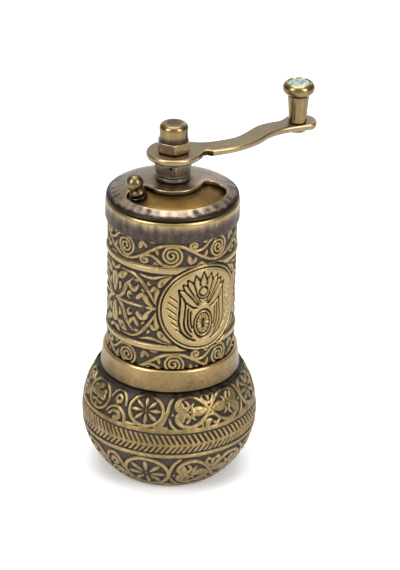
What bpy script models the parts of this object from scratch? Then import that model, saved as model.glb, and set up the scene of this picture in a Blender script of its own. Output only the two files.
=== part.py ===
"""Hand spice mill in antique brass, as separate pieces in metres.

Origin on the mill's axis at the underside of the bowl, +Z up. The filling slot and its
shutter face -Y, and the crank lies towards +X and a little back.
"""
import math

import bmesh
import bpy
from mathutils import Matrix, Vector

MM = 0.001

# Fits between pieces
SEAT_GAP = 0.3 * MM
SLIDE_CLEARANCE = 0.15 * MM
RUNNING_CLEARANCE = 0.06 * MM
KEY_CLEARANCE = 0.1 * MM

# Bowl that collects the ground spice
BOWL_RADIUS = 24.1 * MM
BOWL_WIDEST_HEIGHT = 17.0 * MM
BASE_RADIUS = 15.6 * MM
SHOULDER_RADIUS = 19.8 * MM
SHOULDER_HEIGHT = 30.5 * MM
BOWL_WALL = 1.7 * MM
BOWL_FLOOR = 2.0 * MM
COLLAR_RADIUS = 18.4 * MM
COLLAR_FOOT_RADIUS = 19.0 * MM
COLLAR_LENGTH = 6.0 * MM
NECK_GROOVE_DEPTH = 0.4 * MM
NECK_GROOVE_WIDTH = 0.5 * MM
BAND_HALF_HEIGHT = 3.1 * MM
BAND_LINE_WIDTH = 0.8 * MM
BAND_LINE_DEPTH = 0.35 * MM

# Barrel that holds the whole spice
BARREL_RADIUS = 17.45 * MM
BARREL_BODY_LENGTH = 37.4 * MM
BARREL_BORE_RADIUS = 15.4 * MM
SPIGOT_RADIUS = 16.45 * MM
SPIGOT_LENGTH = 15.3 * MM
RING_PROUD = 0.25 * MM
RING_HEIGHT = 2.0 * MM
LOWER_FRIEZE_HEIGHT = 5.2 * MM
UPPER_FRIEZE_HEIGHT = 7.3 * MM
RIM_RADIUS = 18.05 * MM
RIM_HEIGHT = 6.0 * MM
RIM_ROUND = 0.6 * MM
COVER_SEAT_RADIUS = 16.6 * MM
COVER_SEAT_DEPTH = 4.9 * MM
LEDGE_RADIUS = 14.3 * MM
LEDGE_THICKNESS = 1.5 * MM
LEDGE_HEIGHT = 13.5 * MM

# Domed cover with its filling slot
COVER_RADIUS = 17.8 * MM
COVER_EDGE_HEIGHT = 0.5 * MM
COVER_EDGE_ROUND = 0.9 * MM
COVER_THICKNESS = 1.0 * MM
COVER_SKIRT_WALL = 0.7 * MM
DOME_RADIUS = 37.3 * MM
SLOT_CENTRE_RADIUS = 11.35 * MM
SLOT_HALF_WIDTH = 3.35 * MM
SLOT_FIRST_ANGLE = math.radians(218.0)
SHUTTER_TRAVEL = math.radians(128.0)

# Shutter and its button
SHUTTER_THICKNESS = 0.8 * MM
SHUTTER_WINDOW_ANGLE = math.radians(90.0)
BUTTON_BALL_RADIUS = 2.35 * MM
BUTTON_COLLAR_RADIUS = 1.95 * MM
BUTTON_COLLAR_HEIGHT = 1.7 * MM
BUTTON_FLANGE_RADIUS = 2.35 * MM
BUTTON_FLANGE_HEIGHT = 0.8 * MM
BUTTON_NECK_RADIUS = 1.35 * MM
BUTTON_TAIL_RADIUS = 1.0 * MM
BUTTON_TAIL_HEAD_RADIUS = 1.7 * MM
BUTTON_TAIL_HEAD_HEIGHT = 0.5 * MM
SPRING_WASHER_RADIUS = 6.8 * MM
SPRING_WASHER_THICKNESS = 0.4 * MM
RETAINER_RADIUS = 5.2 * MM
RETAINER_THICKNESS = 0.8 * MM

# Shaft and its bearings
SHAFT_RADIUS = 2.9 * MM
SHAFT_FLATS = 4.4 * MM
SHAFT_TOP_THREAD_RADIUS = 2.45 * MM
SHAFT_TOP_THREAD_LENGTH = 5.2 * MM
SHAFT_END_THREAD_RADIUS = 1.95 * MM
BUSH_WALL = 0.64 * MM
COVER_BUSH_FLANGE_RADIUS = 4.7 * MM
COVER_BUSH_FLANGE_HEIGHT = 0.8 * MM
CLIP_THICKNESS = 0.6 * MM
CLIP_RADIUS = 4.3 * MM
CLIP_GROOVE_DEPTH = 0.4 * MM
END_CLIP_RADIUS = 3.4 * MM

# Spacer under the crank
SPACER_HEIGHT = 4.3 * MM
SPACER_TOP_RADIUS = 5.25 * MM
SPACER_WAIST_RADIUS = 4.45 * MM
SPACER_FOOT_RADIUS = 4.65 * MM
SPACER_FLANGE_HEIGHT = 0.5 * MM
SPACER_FOOT_HEIGHT = 0.7 * MM
SPACER_FLAT_COUNT = 8

# Crank arm
ARM_THICKNESS = 1.8 * MM
ARM_HUB_RADIUS = 7.0 * MM
ARM_EYE_RADIUS = 4.5 * MM
ARM_EYE_OVERHANG = 1.3 * MM
ARM_EYE_OFFSET = 0.6 * MM
ARM_REACH = 39.2 * MM
ARM_ANGLE = math.radians(31.4)
ARM_WIDTH = 6.0 * MM
ARM_SWAY = 3.1 * MM
ARM_EDGE_ROUND = 0.45 * MM
ARM_NOTCH_RADIUS = 1.1 * MM

# Cap nut
NUT_ACROSS_FLATS = 8.1 * MM
NUT_HEX_HEIGHT = 3.2 * MM
NUT_DOME_RADIUS = 3.9 * MM
NUT_HEIGHT = 7.7 * MM
NUT_TURN = math.radians(-86.0)

# Grip on the crank's end
GRIP_HEIGHT = 11.5 * MM
GRIP_STEM_FOOT_RADIUS = 2.5 * MM
GRIP_STEM_TOP_RADIUS = 2.95 * MM
GRIP_HEAD_RADIUS = 4.35 * MM
GRIP_HEAD_HEIGHT = 3.6 * MM
GRIP_PIN_RADIUS = 1.4 * MM
GRIP_PIN_HEAD_RADIUS = 2.2 * MM
GRIP_PIN_HEAD_HEIGHT = 0.9 * MM
GRIP_PIN_TAIL_RADIUS = 2.4 * MM
GRIP_PIN_TAIL_HEIGHT = 0.6 * MM
INLAY_RADIUS = 3.0 * MM
INLAY_THICKNESS = 0.7 * MM
INLAY_CROWN = 0.3 * MM

# Bridge that guides the shaft over the burrs
BRIDGE_THICKNESS = 1.8 * MM
BRIDGE_RING_WIDTH = 1.9 * MM
BRIDGE_HUB_RADIUS = 5.4 * MM
BRIDGE_ARM_WIDTH = 4.2 * MM
BRIDGE_SCREW_COUNT = 3
BRIDGE_SCREW_CIRCLE = 12.85 * MM
BRIDGE_BUSH_FLANGE_RADIUS = 4.8 * MM
BRIDGE_BUSH_FLANGE_HEIGHT = 0.6 * MM
SCREW_RADIUS = 1.15 * MM
SCREW_HEAD_RADIUS = 2.1 * MM
SCREW_HEAD_HEIGHT = 1.3 * MM
SCREW_LENGTH = 7.6 * MM
SCREW_SLOT_WIDTH = 0.6 * MM
SCREW_SLOT_DEPTH = 0.6 * MM

# Burrs
OUTER_BURR_HEIGHT = 12.0 * MM
OUTER_BURR_MOUTH_RADIUS = 11.2 * MM
OUTER_BURR_THROAT_RADIUS = 9.6 * MM
OUTER_BURR_FOOT_RADIUS = 11.9 * MM
OUTER_BURR_THROAT_HEIGHT = 6.8 * MM
OUTER_BURR_TOOTH_DEPTH = 0.5 * MM
OUTER_BURR_TEETH = 24
INNER_BURR_HUB_RADIUS = 5.5 * MM
INNER_BURR_NECK_RADIUS = 6.2 * MM
INNER_BURR_HEIGHT = 8.3 * MM
INNER_BURR_NECK_HEIGHT = 6.4 * MM
INNER_BURR_TOOTH_DEPTH = 0.8 * MM
INNER_BURR_TEETH = 16
INNER_BURR_TWIST = math.radians(30.0)
GRINDING_GAP = 0.45 * MM
SPRING_POCKET_DEPTH = 1.8 * MM

# Spring over the inner burr
SPRING_RADIUS = 3.95 * MM
SPRING_WIRE_RADIUS = 0.3 * MM
SPRING_TURNS = 4.5
SPRING_POINTS_PER_TURN = 10
SEAT_WASHER_THICKNESS = 0.4 * MM

# Grind adjuster under the inner burr
ADJUSTER_RADIUS = 5.6 * MM
ADJUSTER_HEIGHT = 2.2 * MM
ADJUSTER_KNURLS = 12
ADJUSTER_KNURL_DEPTH = 0.5 * MM
THRUST_WASHER_RADIUS = 5.2 * MM
THRUST_WASHER_THICKNESS = 0.4 * MM
BURR_DROP = 1.6 * MM

# Faces in a full turn
LARGE_STEPS = 48
MEDIUM_STEPS = 36
SMALL_STEPS = 24
TINY_STEPS = 16

# Heights that follow from the sizes above
COLLAR_FOOT = SHOULDER_HEIGHT + NECK_GROOVE_WIDTH
COLLAR_TOP = COLLAR_FOOT + COLLAR_LENGTH
BARREL_FOOT = COLLAR_TOP + SEAT_GAP
SPIGOT_FOOT = BARREL_FOOT - SPIGOT_LENGTH
LOWER_RING_FOOT = BARREL_FOOT + LOWER_FRIEZE_HEIGHT
RIM_FOOT = BARREL_FOOT + BARREL_BODY_LENGTH
UPPER_RING_FOOT = RIM_FOOT - UPPER_FRIEZE_HEIGHT - RING_HEIGHT
RIM_TOP = RIM_FOOT + RIM_HEIGHT
COVER_FOOT = RIM_TOP + SEAT_GAP
DOME_EDGE_RADIUS = COVER_RADIUS - COVER_EDGE_ROUND


def dome_drop(radius):
    """How far a dome's surface falls from its top at a distance from the axis."""
    return DOME_RADIUS - math.sqrt(DOME_RADIUS ** 2 - radius ** 2)


DOME_TOP = COVER_FOOT + COVER_EDGE_HEIGHT + 0.7 * COVER_EDGE_ROUND + dome_drop(DOME_EDGE_RADIUS)
SHUTTER_TOP = DOME_TOP - COVER_THICKNESS - SEAT_GAP
SPRING_WASHER_TOP = SHUTTER_TOP - SHUTTER_THICKNESS - SEAT_GAP
RETAINER_TOP = SPRING_WASHER_TOP - SPRING_WASHER_THICKNESS - SEAT_GAP - dome_drop(RETAINER_RADIUS)
BUSH_RADIUS = SHAFT_RADIUS + RUNNING_CLEARANCE + BUSH_WALL
BUSH_BORE_RADIUS = SHAFT_RADIUS + RUNNING_CLEARANCE
COVER_BUSH_FLANGE_FOOT = DOME_TOP - dome_drop(BUSH_RADIUS) + SEAT_GAP
COVER_BUSH_FOOT = RETAINER_TOP - RETAINER_THICKNESS - SEAT_GAP
COVER_BUSH_TOP = COVER_BUSH_FLANGE_FOOT + COVER_BUSH_FLANGE_HEIGHT
SPACER_FOOT = COVER_BUSH_TOP + SEAT_GAP
SPACER_TOP = SPACER_FOOT + SPACER_HEIGHT
ARM_FOOT = SPACER_TOP + SEAT_GAP
ARM_TOP = ARM_FOOT + ARM_THICKNESS
NUT_FOOT = ARM_TOP + SEAT_GAP
UPPER_CLIP_TOP = COVER_BUSH_FOOT - SEAT_GAP
LEDGE_FOOT = SPIGOT_FOOT + LEDGE_HEIGHT
OUTER_BURR_TOP = LEDGE_FOOT - SEAT_GAP
OUTER_BURR_FOOT = OUTER_BURR_TOP - OUTER_BURR_HEIGHT
BRIDGE_FOOT = LEDGE_FOOT + LEDGE_THICKNESS + SEAT_GAP
BRIDGE_TOP = BRIDGE_FOOT + BRIDGE_THICKNESS
BRIDGE_BUSH_FLANGE_TOP = BRIDGE_FOOT - SEAT_GAP
BRIDGE_BUSH_FOOT = BRIDGE_BUSH_FLANGE_TOP - BRIDGE_BUSH_FLANGE_HEIGHT
SEAT_WASHER_TOP = BRIDGE_BUSH_FOOT - SEAT_GAP
SPRING_TOP = SEAT_WASHER_TOP - SEAT_WASHER_THICKNESS - SEAT_GAP
INNER_BURR_FOOT = OUTER_BURR_FOOT
INNER_BURR_TOP = INNER_BURR_FOOT + INNER_BURR_HEIGHT
INNER_BURR_FOOT_RADIUS = OUTER_BURR_FOOT_RADIUS - GRINDING_GAP
SPRING_FOOT = INNER_BURR_TOP - SPRING_POCKET_DEPTH + SEAT_GAP
THRUST_WASHER_TOP = INNER_BURR_FOOT - SEAT_GAP
ADJUSTER_TOP = THRUST_WASHER_TOP - THRUST_WASHER_THICKNESS - SEAT_GAP
ADJUSTER_FOOT = ADJUSTER_TOP - ADJUSTER_HEIGHT
END_CLIP_TOP = ADJUSTER_FOOT - BURR_DROP - SEAT_GAP
SHAFT_SQUARE_FOOT = ADJUSTER_TOP + SEAT_GAP
SHAFT_SQUARE_TOP = SEAT_WASHER_TOP - SEAT_WASHER_THICKNESS - SEAT_GAP
SHAFT_FOOT = END_CLIP_TOP - CLIP_THICKNESS - 2.0 * SEAT_GAP
GRIP_CENTRE = Vector((ARM_REACH * math.cos(ARM_ANGLE), ARM_REACH * math.sin(ARM_ANGLE), 0.0))
GRIP_FOOT = ARM_TOP + SEAT_GAP
GRIP_TOP = GRIP_FOOT + GRIP_HEIGHT


def clear_scene():
    for item in list(bpy.data.objects):
        bpy.data.objects.remove(item, do_unlink=True)


def metal(name, colour, roughness, metallic=1.0):
    """A plain finish for one piece, named after it."""
    finish = bpy.data.materials.new(name + "_finish")
    finish.use_nodes = True
    shader = finish.node_tree.nodes["Principled BSDF"]
    shader.inputs["Base Color"].default_value = (*colour, 1.0)
    shader.inputs["Roughness"].default_value = roughness
    shader.inputs["Metallic"].default_value = metallic
    return finish


ANTIQUE_BRASS = (0.36, 0.26, 0.12)
WORN_BRASS = (0.52, 0.38, 0.18)
DARK_BRASS = (0.16, 0.11, 0.05)
PEWTER = (0.26, 0.24, 0.20)
STEEL = (0.50, 0.50, 0.51)
PEARL = (0.62, 0.80, 0.68)


def new_object(name, mesh_source, colour=ANTIQUE_BRASS, roughness=0.4, metallic=1.0, parent=None):
    """Turns a bmesh into a named, smooth-shaded object with its own finish."""
    mesh = bpy.data.meshes.new(name)
    bmesh.ops.recalc_face_normals(mesh_source, faces=mesh_source.faces)
    mesh_source.to_mesh(mesh)
    mesh_source.free()
    mesh.shade_smooth()
    mesh.set_sharp_from_angle(angle=math.radians(35.0))
    piece = bpy.data.objects.new(name, mesh)
    bpy.context.scene.collection.objects.link(piece)
    mesh.materials.append(metal(name, colour, roughness, metallic))
    if parent is not None:
        piece.parent = parent
        piece.matrix_parent_inverse = parent.matrix_world.inverted()
    return piece


def pivot(name, place, parent=None):
    """An empty on a joint's axis that carries what turns or slides there."""
    empty = bpy.data.objects.new(name, None)
    empty.empty_display_size = 5.0 * MM
    empty.matrix_world = Matrix.Translation(place)
    bpy.context.scene.collection.objects.link(empty)
    if parent is not None:
        empty.parent = parent
        empty.matrix_parent_inverse = parent.matrix_world.inverted()
    bpy.context.view_layer.update()
    return empty


def spin_profile(outline, steps, closed):
    """Spins (radius, height) points about the Z axis. A closed outline makes a ring."""
    work = bmesh.new()
    verts = [work.verts.new((radius, 0.0, height)) for radius, height in outline]
    pairs = list(zip(verts, verts[1:]))
    if closed:
        pairs.append((verts[-1], verts[0]))
    edges = [work.edges.new(pair) for pair in pairs]
    bmesh.ops.spin(work, geom=verts + edges, cent=(0, 0, 0), axis=(0, 0, 1),
                   angle=2.0 * math.pi, steps=steps, use_merge=True)
    bmesh.ops.remove_doubles(work, verts=work.verts, dist=0.001 * MM)
    return work


def stacked_rings(rings, closed_column=False):
    """Skins a stack of point rings that all have as many points, and caps both ends.

    With closed_column the last ring joins the first, which leaves a hole through the middle.
    """
    work = bmesh.new()
    layers = [[work.verts.new(point) for point in ring] for ring in rings]
    following = layers[1:] + layers[:1] if closed_column else layers[1:]
    for low, high in zip(layers, following):
        for index in range(len(low)):
            after = (index + 1) % len(low)
            work.faces.new((low[index], low[after], high[after], high[index]))
    if not closed_column:
        work.faces.new(layers[0])
        work.faces.new(layers[-1])
    return work


def ring_points(radius_at, height, steps, turn=0.0):
    """Points of one ring, whose radius may depend on the angle."""
    points = []
    for index in range(steps):
        angle = 2.0 * math.pi * index / steps
        radius = radius_at(angle)
        points.append((radius * math.cos(angle + turn), radius * math.sin(angle + turn), height))
    return points


def round_section(radius):
    return lambda angle: radius


def square_section(across_flats, corner_radius):
    """A square bar turned from round stock, which keeps the stock's radius at its corners."""
    def radius_at(angle):
        nearest = max(abs(math.cos(angle)), abs(math.sin(angle)))
        return min(corner_radius, 0.5 * across_flats / nearest)
    return radius_at


def prism(outline, foot, top):
    """A straight-sided solid over a flat outline."""
    return stacked_rings([[(x, y, foot) for x, y in outline], [(x, y, top) for x, y in outline]])


def cutter(name, mesh_source):
    """A hidden shape that a piece is cut with."""
    tool = new_object(name, mesh_source)
    tool.hide_render = True
    tool.display_type = 'WIRE'
    return tool


def cut(piece, tool):
    step = piece.modifiers.new("cut_" + tool.name, 'BOOLEAN')
    step.operation = 'DIFFERENCE'
    step.solver = 'EXACT'
    step.object = tool


def round_edges(piece, width, segments=2, angle=50.0):
    step = piece.modifiers.new("rounded_edges", 'BEVEL')
    step.width = width
    step.segments = segments
    step.limit_method = 'ANGLE'
    step.angle_limit = math.radians(angle)


def arc_profile(centre_radius, centre_height, size, start, end, steps):
    """Points on an arc in a turned outline, angles in degrees from outwards to up."""
    points = []
    for index in range(steps + 1):
        angle = math.radians(start + (end - start) * index / steps)
        points.append((centre_radius + size * math.cos(angle), centre_height + size * math.sin(angle)))
    return points


def ring_disc(name, inner, outer, foot, top, steps=SMALL_STEPS, **finish):
    outline = [(inner, foot), (outer, foot), (outer, top), (inner, top)]
    return new_object(name, spin_profile(outline, steps, closed=True), **finish)


def domed_ring(inner, outer, top, thickness, steps, rings):
    """A ring pressed to the cover's dome, from its inner to its outer radius."""
    radii = [inner + (outer - inner) * index / rings for index in range(rings + 1)]
    upper = [(radius, top - dome_drop(radius)) for radius in reversed(radii)]
    lower = [(radius, top - thickness - dome_drop(radius)) for radius in radii]
    return spin_profile(upper + lower, steps, closed=True)


def bowl_radius_at(height, wall=0.0):
    """The bowl's outline: two half ellipses that meet at its widest height."""
    full = BOWL_RADIUS - wall
    if height >= BOWL_WIDEST_HEIGHT:
        limit = SHOULDER_HEIGHT - BOWL_WIDEST_HEIGHT
        reach = limit / math.sqrt(1.0 - (SHOULDER_RADIUS / BOWL_RADIUS) ** 2)
    else:
        limit = BOWL_WIDEST_HEIGHT
        reach = limit / math.sqrt(1.0 - (BASE_RADIUS / BOWL_RADIUS) ** 2)
    offset = (height - BOWL_WIDEST_HEIGHT) / reach
    return full * math.sqrt(1.0 - offset ** 2)


def band_line(height):
    """A raised line that stands between two fine grooves cut into the bowl."""
    half = 0.5 * BAND_LINE_WIDTH
    edge = 0.25 * BAND_LINE_WIDTH
    return [
        (bowl_radius_at(height - half - edge), height - half - edge),
        (bowl_radius_at(height - half) - BAND_LINE_DEPTH, height - half),
        (bowl_radius_at(height - edge), height - edge),
        (bowl_radius_at(height + edge), height + edge),
        (bowl_radius_at(height + half) - BAND_LINE_DEPTH, height + half),
        (bowl_radius_at(height + half + edge), height + half + edge),
    ]


def make_bowl():
    """Spun and pressed bowl with the collar that grips the barrel's spigot."""
    collar_bore = SPIGOT_RADIUS + SLIDE_CLEARANCE
    lower_line = BOWL_WIDEST_HEIGHT - BAND_HALF_HEIGHT
    upper_line = BOWL_WIDEST_HEIGHT + BAND_HALF_HEIGHT
    outer = [(0.0, 0.0), (BASE_RADIUS - 0.6 * MM, 0.0)]
    for share in (0.04, 0.12, 0.25, 0.42, 0.60):
        height = share * lower_line * 1.25
        outer.append((bowl_radius_at(height), height))
    outer += band_line(lower_line)
    outer.append((BOWL_RADIUS, BOWL_WIDEST_HEIGHT))
    outer += band_line(upper_line)
    for share in (0.30, 0.55, 0.80, 1.0):
        height = upper_line + share * (SHOULDER_HEIGHT - upper_line)
        outer.append((bowl_radius_at(height), height))
    groove = COLLAR_FOOT_RADIUS - NECK_GROOVE_DEPTH
    outer += [(groove, SHOULDER_HEIGHT + 0.2 * NECK_GROOVE_WIDTH), (groove, COLLAR_FOOT)]
    outer += [(COLLAR_FOOT_RADIUS, COLLAR_FOOT + 0.15 * MM)]
    outer += arc_profile(COLLAR_RADIUS - 0.4 * MM, COLLAR_TOP - 0.4 * MM, 0.4 * MM, 0.0, 90.0, 3)
    inner = [(collar_bore + 0.2 * MM, COLLAR_TOP), (collar_bore, COLLAR_TOP - 0.2 * MM)]
    inner.append((collar_bore, COLLAR_FOOT - BOWL_WALL))
    for share in (0.80, 0.45, 0.0, -0.40, -0.75):
        span = SHOULDER_HEIGHT - BOWL_WALL if share > 0.0 else BOWL_FLOOR
        height = BOWL_WIDEST_HEIGHT + abs(share) * (span - BOWL_WIDEST_HEIGHT)
        inner.append((bowl_radius_at(height, BOWL_WALL), height))
    inner.append((bowl_radius_at(BOWL_FLOOR, BOWL_WALL), BOWL_FLOOR + 0.5 * MM))
    inner += [(bowl_radius_at(BOWL_FLOOR, BOWL_WALL) - 0.5 * MM, BOWL_FLOOR), (0.0, BOWL_FLOOR)]
    return new_object("chamber_bowl", spin_profile(outer + inner, LARGE_STEPS, closed=False))


def make_barrel(parent):
    """Barrel casting: spigot, carved body between plain rings, and the smooth rim."""
    ring = BARREL_RADIUS + RING_PROUD
    step = 0.2 * MM
    outer = [(BARREL_BORE_RADIUS, SPIGOT_FOOT), (SPIGOT_RADIUS - step, SPIGOT_FOOT)]
    outer += [(SPIGOT_RADIUS, SPIGOT_FOOT + step), (SPIGOT_RADIUS, BARREL_FOOT)]
    outer.append((BARREL_RADIUS, BARREL_FOOT))
    for foot in (LOWER_RING_FOOT, UPPER_RING_FOOT):
        outer += [(BARREL_RADIUS, foot), (ring, foot + step)]
        outer += [(ring, foot + RING_HEIGHT - step), (BARREL_RADIUS, foot + RING_HEIGHT)]
    outer += [(BARREL_RADIUS, RIM_FOOT), (RIM_RADIUS, RIM_FOOT + 0.5 * RIM_ROUND)]
    outer += arc_profile(RIM_RADIUS - RIM_ROUND, RIM_TOP - RIM_ROUND, RIM_ROUND, 0.0, 90.0, 3)
    inner = [(COVER_SEAT_RADIUS, RIM_TOP), (COVER_SEAT_RADIUS, RIM_TOP - COVER_SEAT_DEPTH)]
    inner += [(BARREL_BORE_RADIUS, RIM_TOP - COVER_SEAT_DEPTH)]
    ledge_top = LEDGE_FOOT + LEDGE_THICKNESS
    inner += [(BARREL_BORE_RADIUS, ledge_top), (LEDGE_RADIUS, ledge_top)]
    inner += [(LEDGE_RADIUS, LEDGE_FOOT), (BARREL_BORE_RADIUS, LEDGE_FOOT)]
    return new_object("barrel", spin_profile(outer + inner, LARGE_STEPS, closed=True), parent=parent)


def kidney_outline(centre_radius, half_width, start, end, lobe_steps=10, arc_steps=14):
    """A slot that follows a circle about the axis and has round ends."""
    points = []
    for index in range(arc_steps + 1):
        angle = start + (end - start) * index / arc_steps
        points.append(((centre_radius + half_width) * math.cos(angle),
                       (centre_radius + half_width) * math.sin(angle)))
    for lobe, direction in ((end, 1.0), (start, -1.0)):
        centre = (centre_radius * math.cos(lobe), centre_radius * math.sin(lobe))
        first = lobe if direction > 0 else lobe + math.pi
        for index in range(1, lobe_steps):
            angle = first + math.pi * index / lobe_steps
            points.append((centre[0] + half_width * math.cos(angle),
                           centre[1] + half_width * math.sin(angle)))
        if direction > 0:
            for index in range(arc_steps + 1):
                angle = end + (start - end) * index / arc_steps
                points.append(((centre_radius - half_width) * math.cos(angle),
                               (centre_radius - half_width) * math.sin(angle)))
    return points


def make_cover(parent):
    """Pressed cover: dome with a kidney slot, rounded edge and a skirt in the barrel's seat."""
    skirt_outer = COVER_SEAT_RADIUS - SLIDE_CLEARANCE
    skirt_inner = skirt_outer - COVER_SKIRT_WALL
    skirt_foot = RIM_TOP - COVER_SEAT_DEPTH + SEAT_GAP
    hole = BUSH_RADIUS + SLIDE_CLEARANCE
    outline = [(skirt_inner, skirt_foot), (skirt_outer, skirt_foot), (skirt_outer, COVER_FOOT)]
    outline += [(COVER_RADIUS - 0.2 * MM, COVER_FOOT), (COVER_RADIUS, COVER_FOOT + 0.2 * MM)]
    outline.append((COVER_RADIUS, COVER_FOOT + COVER_EDGE_HEIGHT))
    outline.append((COVER_RADIUS - 0.3 * COVER_EDGE_ROUND,
                    COVER_FOOT + COVER_EDGE_HEIGHT + 0.45 * COVER_EDGE_ROUND))
    for share in (1.0, 0.82, 0.64, 0.46):
        radius = share * DOME_EDGE_RADIUS
        outline.append((radius, DOME_TOP - dome_drop(radius)))
    outline += [(hole, DOME_TOP - dome_drop(hole)), (hole, DOME_TOP - COVER_THICKNESS - dome_drop(hole))]
    for share in (0.46, 0.64, 0.82, 1.0):
        radius = share * skirt_inner
        outline.append((radius, DOME_TOP - COVER_THICKNESS - dome_drop(radius)))
    cover = new_object("top_cover", spin_profile(outline, LARGE_STEPS, closed=True),
                       colour=ANTIQUE_BRASS, roughness=0.35, parent=parent)
    slot = kidney_outline(SLOT_CENTRE_RADIUS, SLOT_HALF_WIDTH, SLOT_FIRST_ANGLE,
                          SLOT_FIRST_ANGLE + SHUTTER_TRAVEL)
    cut(cover, cutter("slot_cutter", prism(slot, skirt_foot, DOME_TOP + COVER_THICKNESS)))
    return cover


def button_frame():
    """The place and tilt of the shutter's button, square to the dome."""
    flat = Vector((math.cos(SLOT_FIRST_ANGLE), math.sin(SLOT_FIRST_ANGLE), 0.0))
    lean = math.asin(SLOT_CENTRE_RADIUS / DOME_RADIUS)
    normal = flat * math.sin(lean) + Vector((0.0, 0.0, math.cos(lean)))
    seat = flat * SLOT_CENTRE_RADIUS
    seat.z = SHUTTER_TOP - dome_drop(SLOT_CENTRE_RADIUS)
    return Matrix.Translation(seat) @ normal.to_track_quat('Z', 'Y').to_matrix().to_4x4()


def make_shutter(parent):
    """Domed shutter plate with its own window, and the button riveted to it."""
    plate_outer = COVER_SEAT_RADIUS - SLIDE_CLEARANCE - COVER_SKIRT_WALL - SEAT_GAP
    plate = new_object("shutter_plate",
                       domed_ring(BUSH_RADIUS + KEY_CLEARANCE, plate_outer, SHUTTER_TOP,
                                  SHUTTER_THICKNESS, LARGE_STEPS, 4),
                       colour=DARK_BRASS, roughness=0.45, parent=parent)
    window_start = SLOT_FIRST_ANGLE - SHUTTER_TRAVEL
    window = kidney_outline(SLOT_CENTRE_RADIUS, SLOT_HALF_WIDTH, window_start,
                            window_start + SHUTTER_WINDOW_ANGLE, arc_steps=10)
    low = SHUTTER_TOP - dome_drop(plate_outer) - 2.0 * SHUTTER_THICKNESS
    cut(plate, cutter("window_cutter", prism(window, low, DOME_TOP)))
    frame = button_frame()
    hole_radius = BUTTON_TAIL_RADIUS + SLIDE_CLEARANCE
    below = -3.0 * SHUTTER_THICKNESS
    above = 2.0 * SHUTTER_THICKNESS
    hole = spin_profile([(0.0, below), (hole_radius, below), (hole_radius, above), (0.0, above)],
                        TINY_STEPS, closed=False)
    tool = cutter("button_hole_cutter", hole)
    tool.matrix_world = frame
    cut(plate, tool)

    flange_foot = SEAT_GAP
    flange_top = flange_foot + BUTTON_FLANGE_HEIGHT
    collar_top = flange_top + BUTTON_COLLAR_HEIGHT
    neck_height = collar_top + 0.15 * MM
    neck_angle = math.degrees(math.asin(BUTTON_NECK_RADIUS / BUTTON_BALL_RADIUS)) - 90.0
    ball_centre = neck_height + math.sqrt(BUTTON_BALL_RADIUS ** 2 - BUTTON_NECK_RADIUS ** 2)
    head_top = -SHUTTER_THICKNESS - SEAT_GAP
    head_foot = head_top - BUTTON_TAIL_HEAD_HEIGHT
    outline = [(0.0, head_foot), (BUTTON_TAIL_HEAD_RADIUS, head_foot)]
    outline += [(BUTTON_TAIL_HEAD_RADIUS, head_top), (BUTTON_TAIL_RADIUS, head_top)]
    outline += [(BUTTON_TAIL_RADIUS, flange_foot), (BUTTON_FLANGE_RADIUS, flange_foot)]
    outline += [(BUTTON_FLANGE_RADIUS, flange_top - 0.2 * MM), (BUTTON_FLANGE_RADIUS - 0.3 * MM, flange_top)]
    half = 0.5 * BUTTON_COLLAR_HEIGHT
    outline += arc_profile(BUTTON_COLLAR_RADIUS - half, flange_top + half, half, -60.0, 60.0, 4)
    outline += [(BUTTON_NECK_RADIUS, collar_top)]
    ball = arc_profile(0.0, ball_centre, BUTTON_BALL_RADIUS, neck_angle, 90.0, 9)
    outline += ball[:-1] + [(0.0, ball_centre + BUTTON_BALL_RADIUS)]
    button = new_object("shutter_button", spin_profile(outline, TINY_STEPS, closed=False),
                        colour=WORN_BRASS, roughness=0.3)
    button.parent = parent
    button.matrix_parent_inverse = parent.matrix_world.inverted()
    button.matrix_basis = frame
    return plate, button


def make_cover_bearing(parent):
    """Bush in the cover's middle, with the washer and ring that carry the shutter."""
    outline = [(BUSH_BORE_RADIUS, COVER_BUSH_FOOT), (BUSH_RADIUS, COVER_BUSH_FOOT)]
    outline += [(BUSH_RADIUS, COVER_BUSH_FLANGE_FOOT), (COVER_BUSH_FLANGE_RADIUS, COVER_BUSH_FLANGE_FOOT)]
    outline += [(COVER_BUSH_FLANGE_RADIUS, COVER_BUSH_TOP - 0.3 * MM)]
    outline += [(COVER_BUSH_FLANGE_RADIUS - 0.3 * MM, COVER_BUSH_TOP), (BUSH_BORE_RADIUS, COVER_BUSH_TOP)]
    new_object("cover_bush", spin_profile(outline, SMALL_STEPS, closed=True),
               colour=PEWTER, roughness=0.45, parent=parent)
    inner = BUSH_RADIUS + KEY_CLEARANCE
    new_object("shutter_spring_washer",
               domed_ring(inner, SPRING_WASHER_RADIUS, SPRING_WASHER_TOP, SPRING_WASHER_THICKNESS,
                          SMALL_STEPS, 2),
               colour=STEEL, roughness=0.35, parent=parent)
    ring_disc("shutter_retainer_ring", inner, RETAINER_RADIUS, RETAINER_TOP - RETAINER_THICKNESS,
              RETAINER_TOP, colour=STEEL, roughness=0.35, parent=parent)


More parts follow.
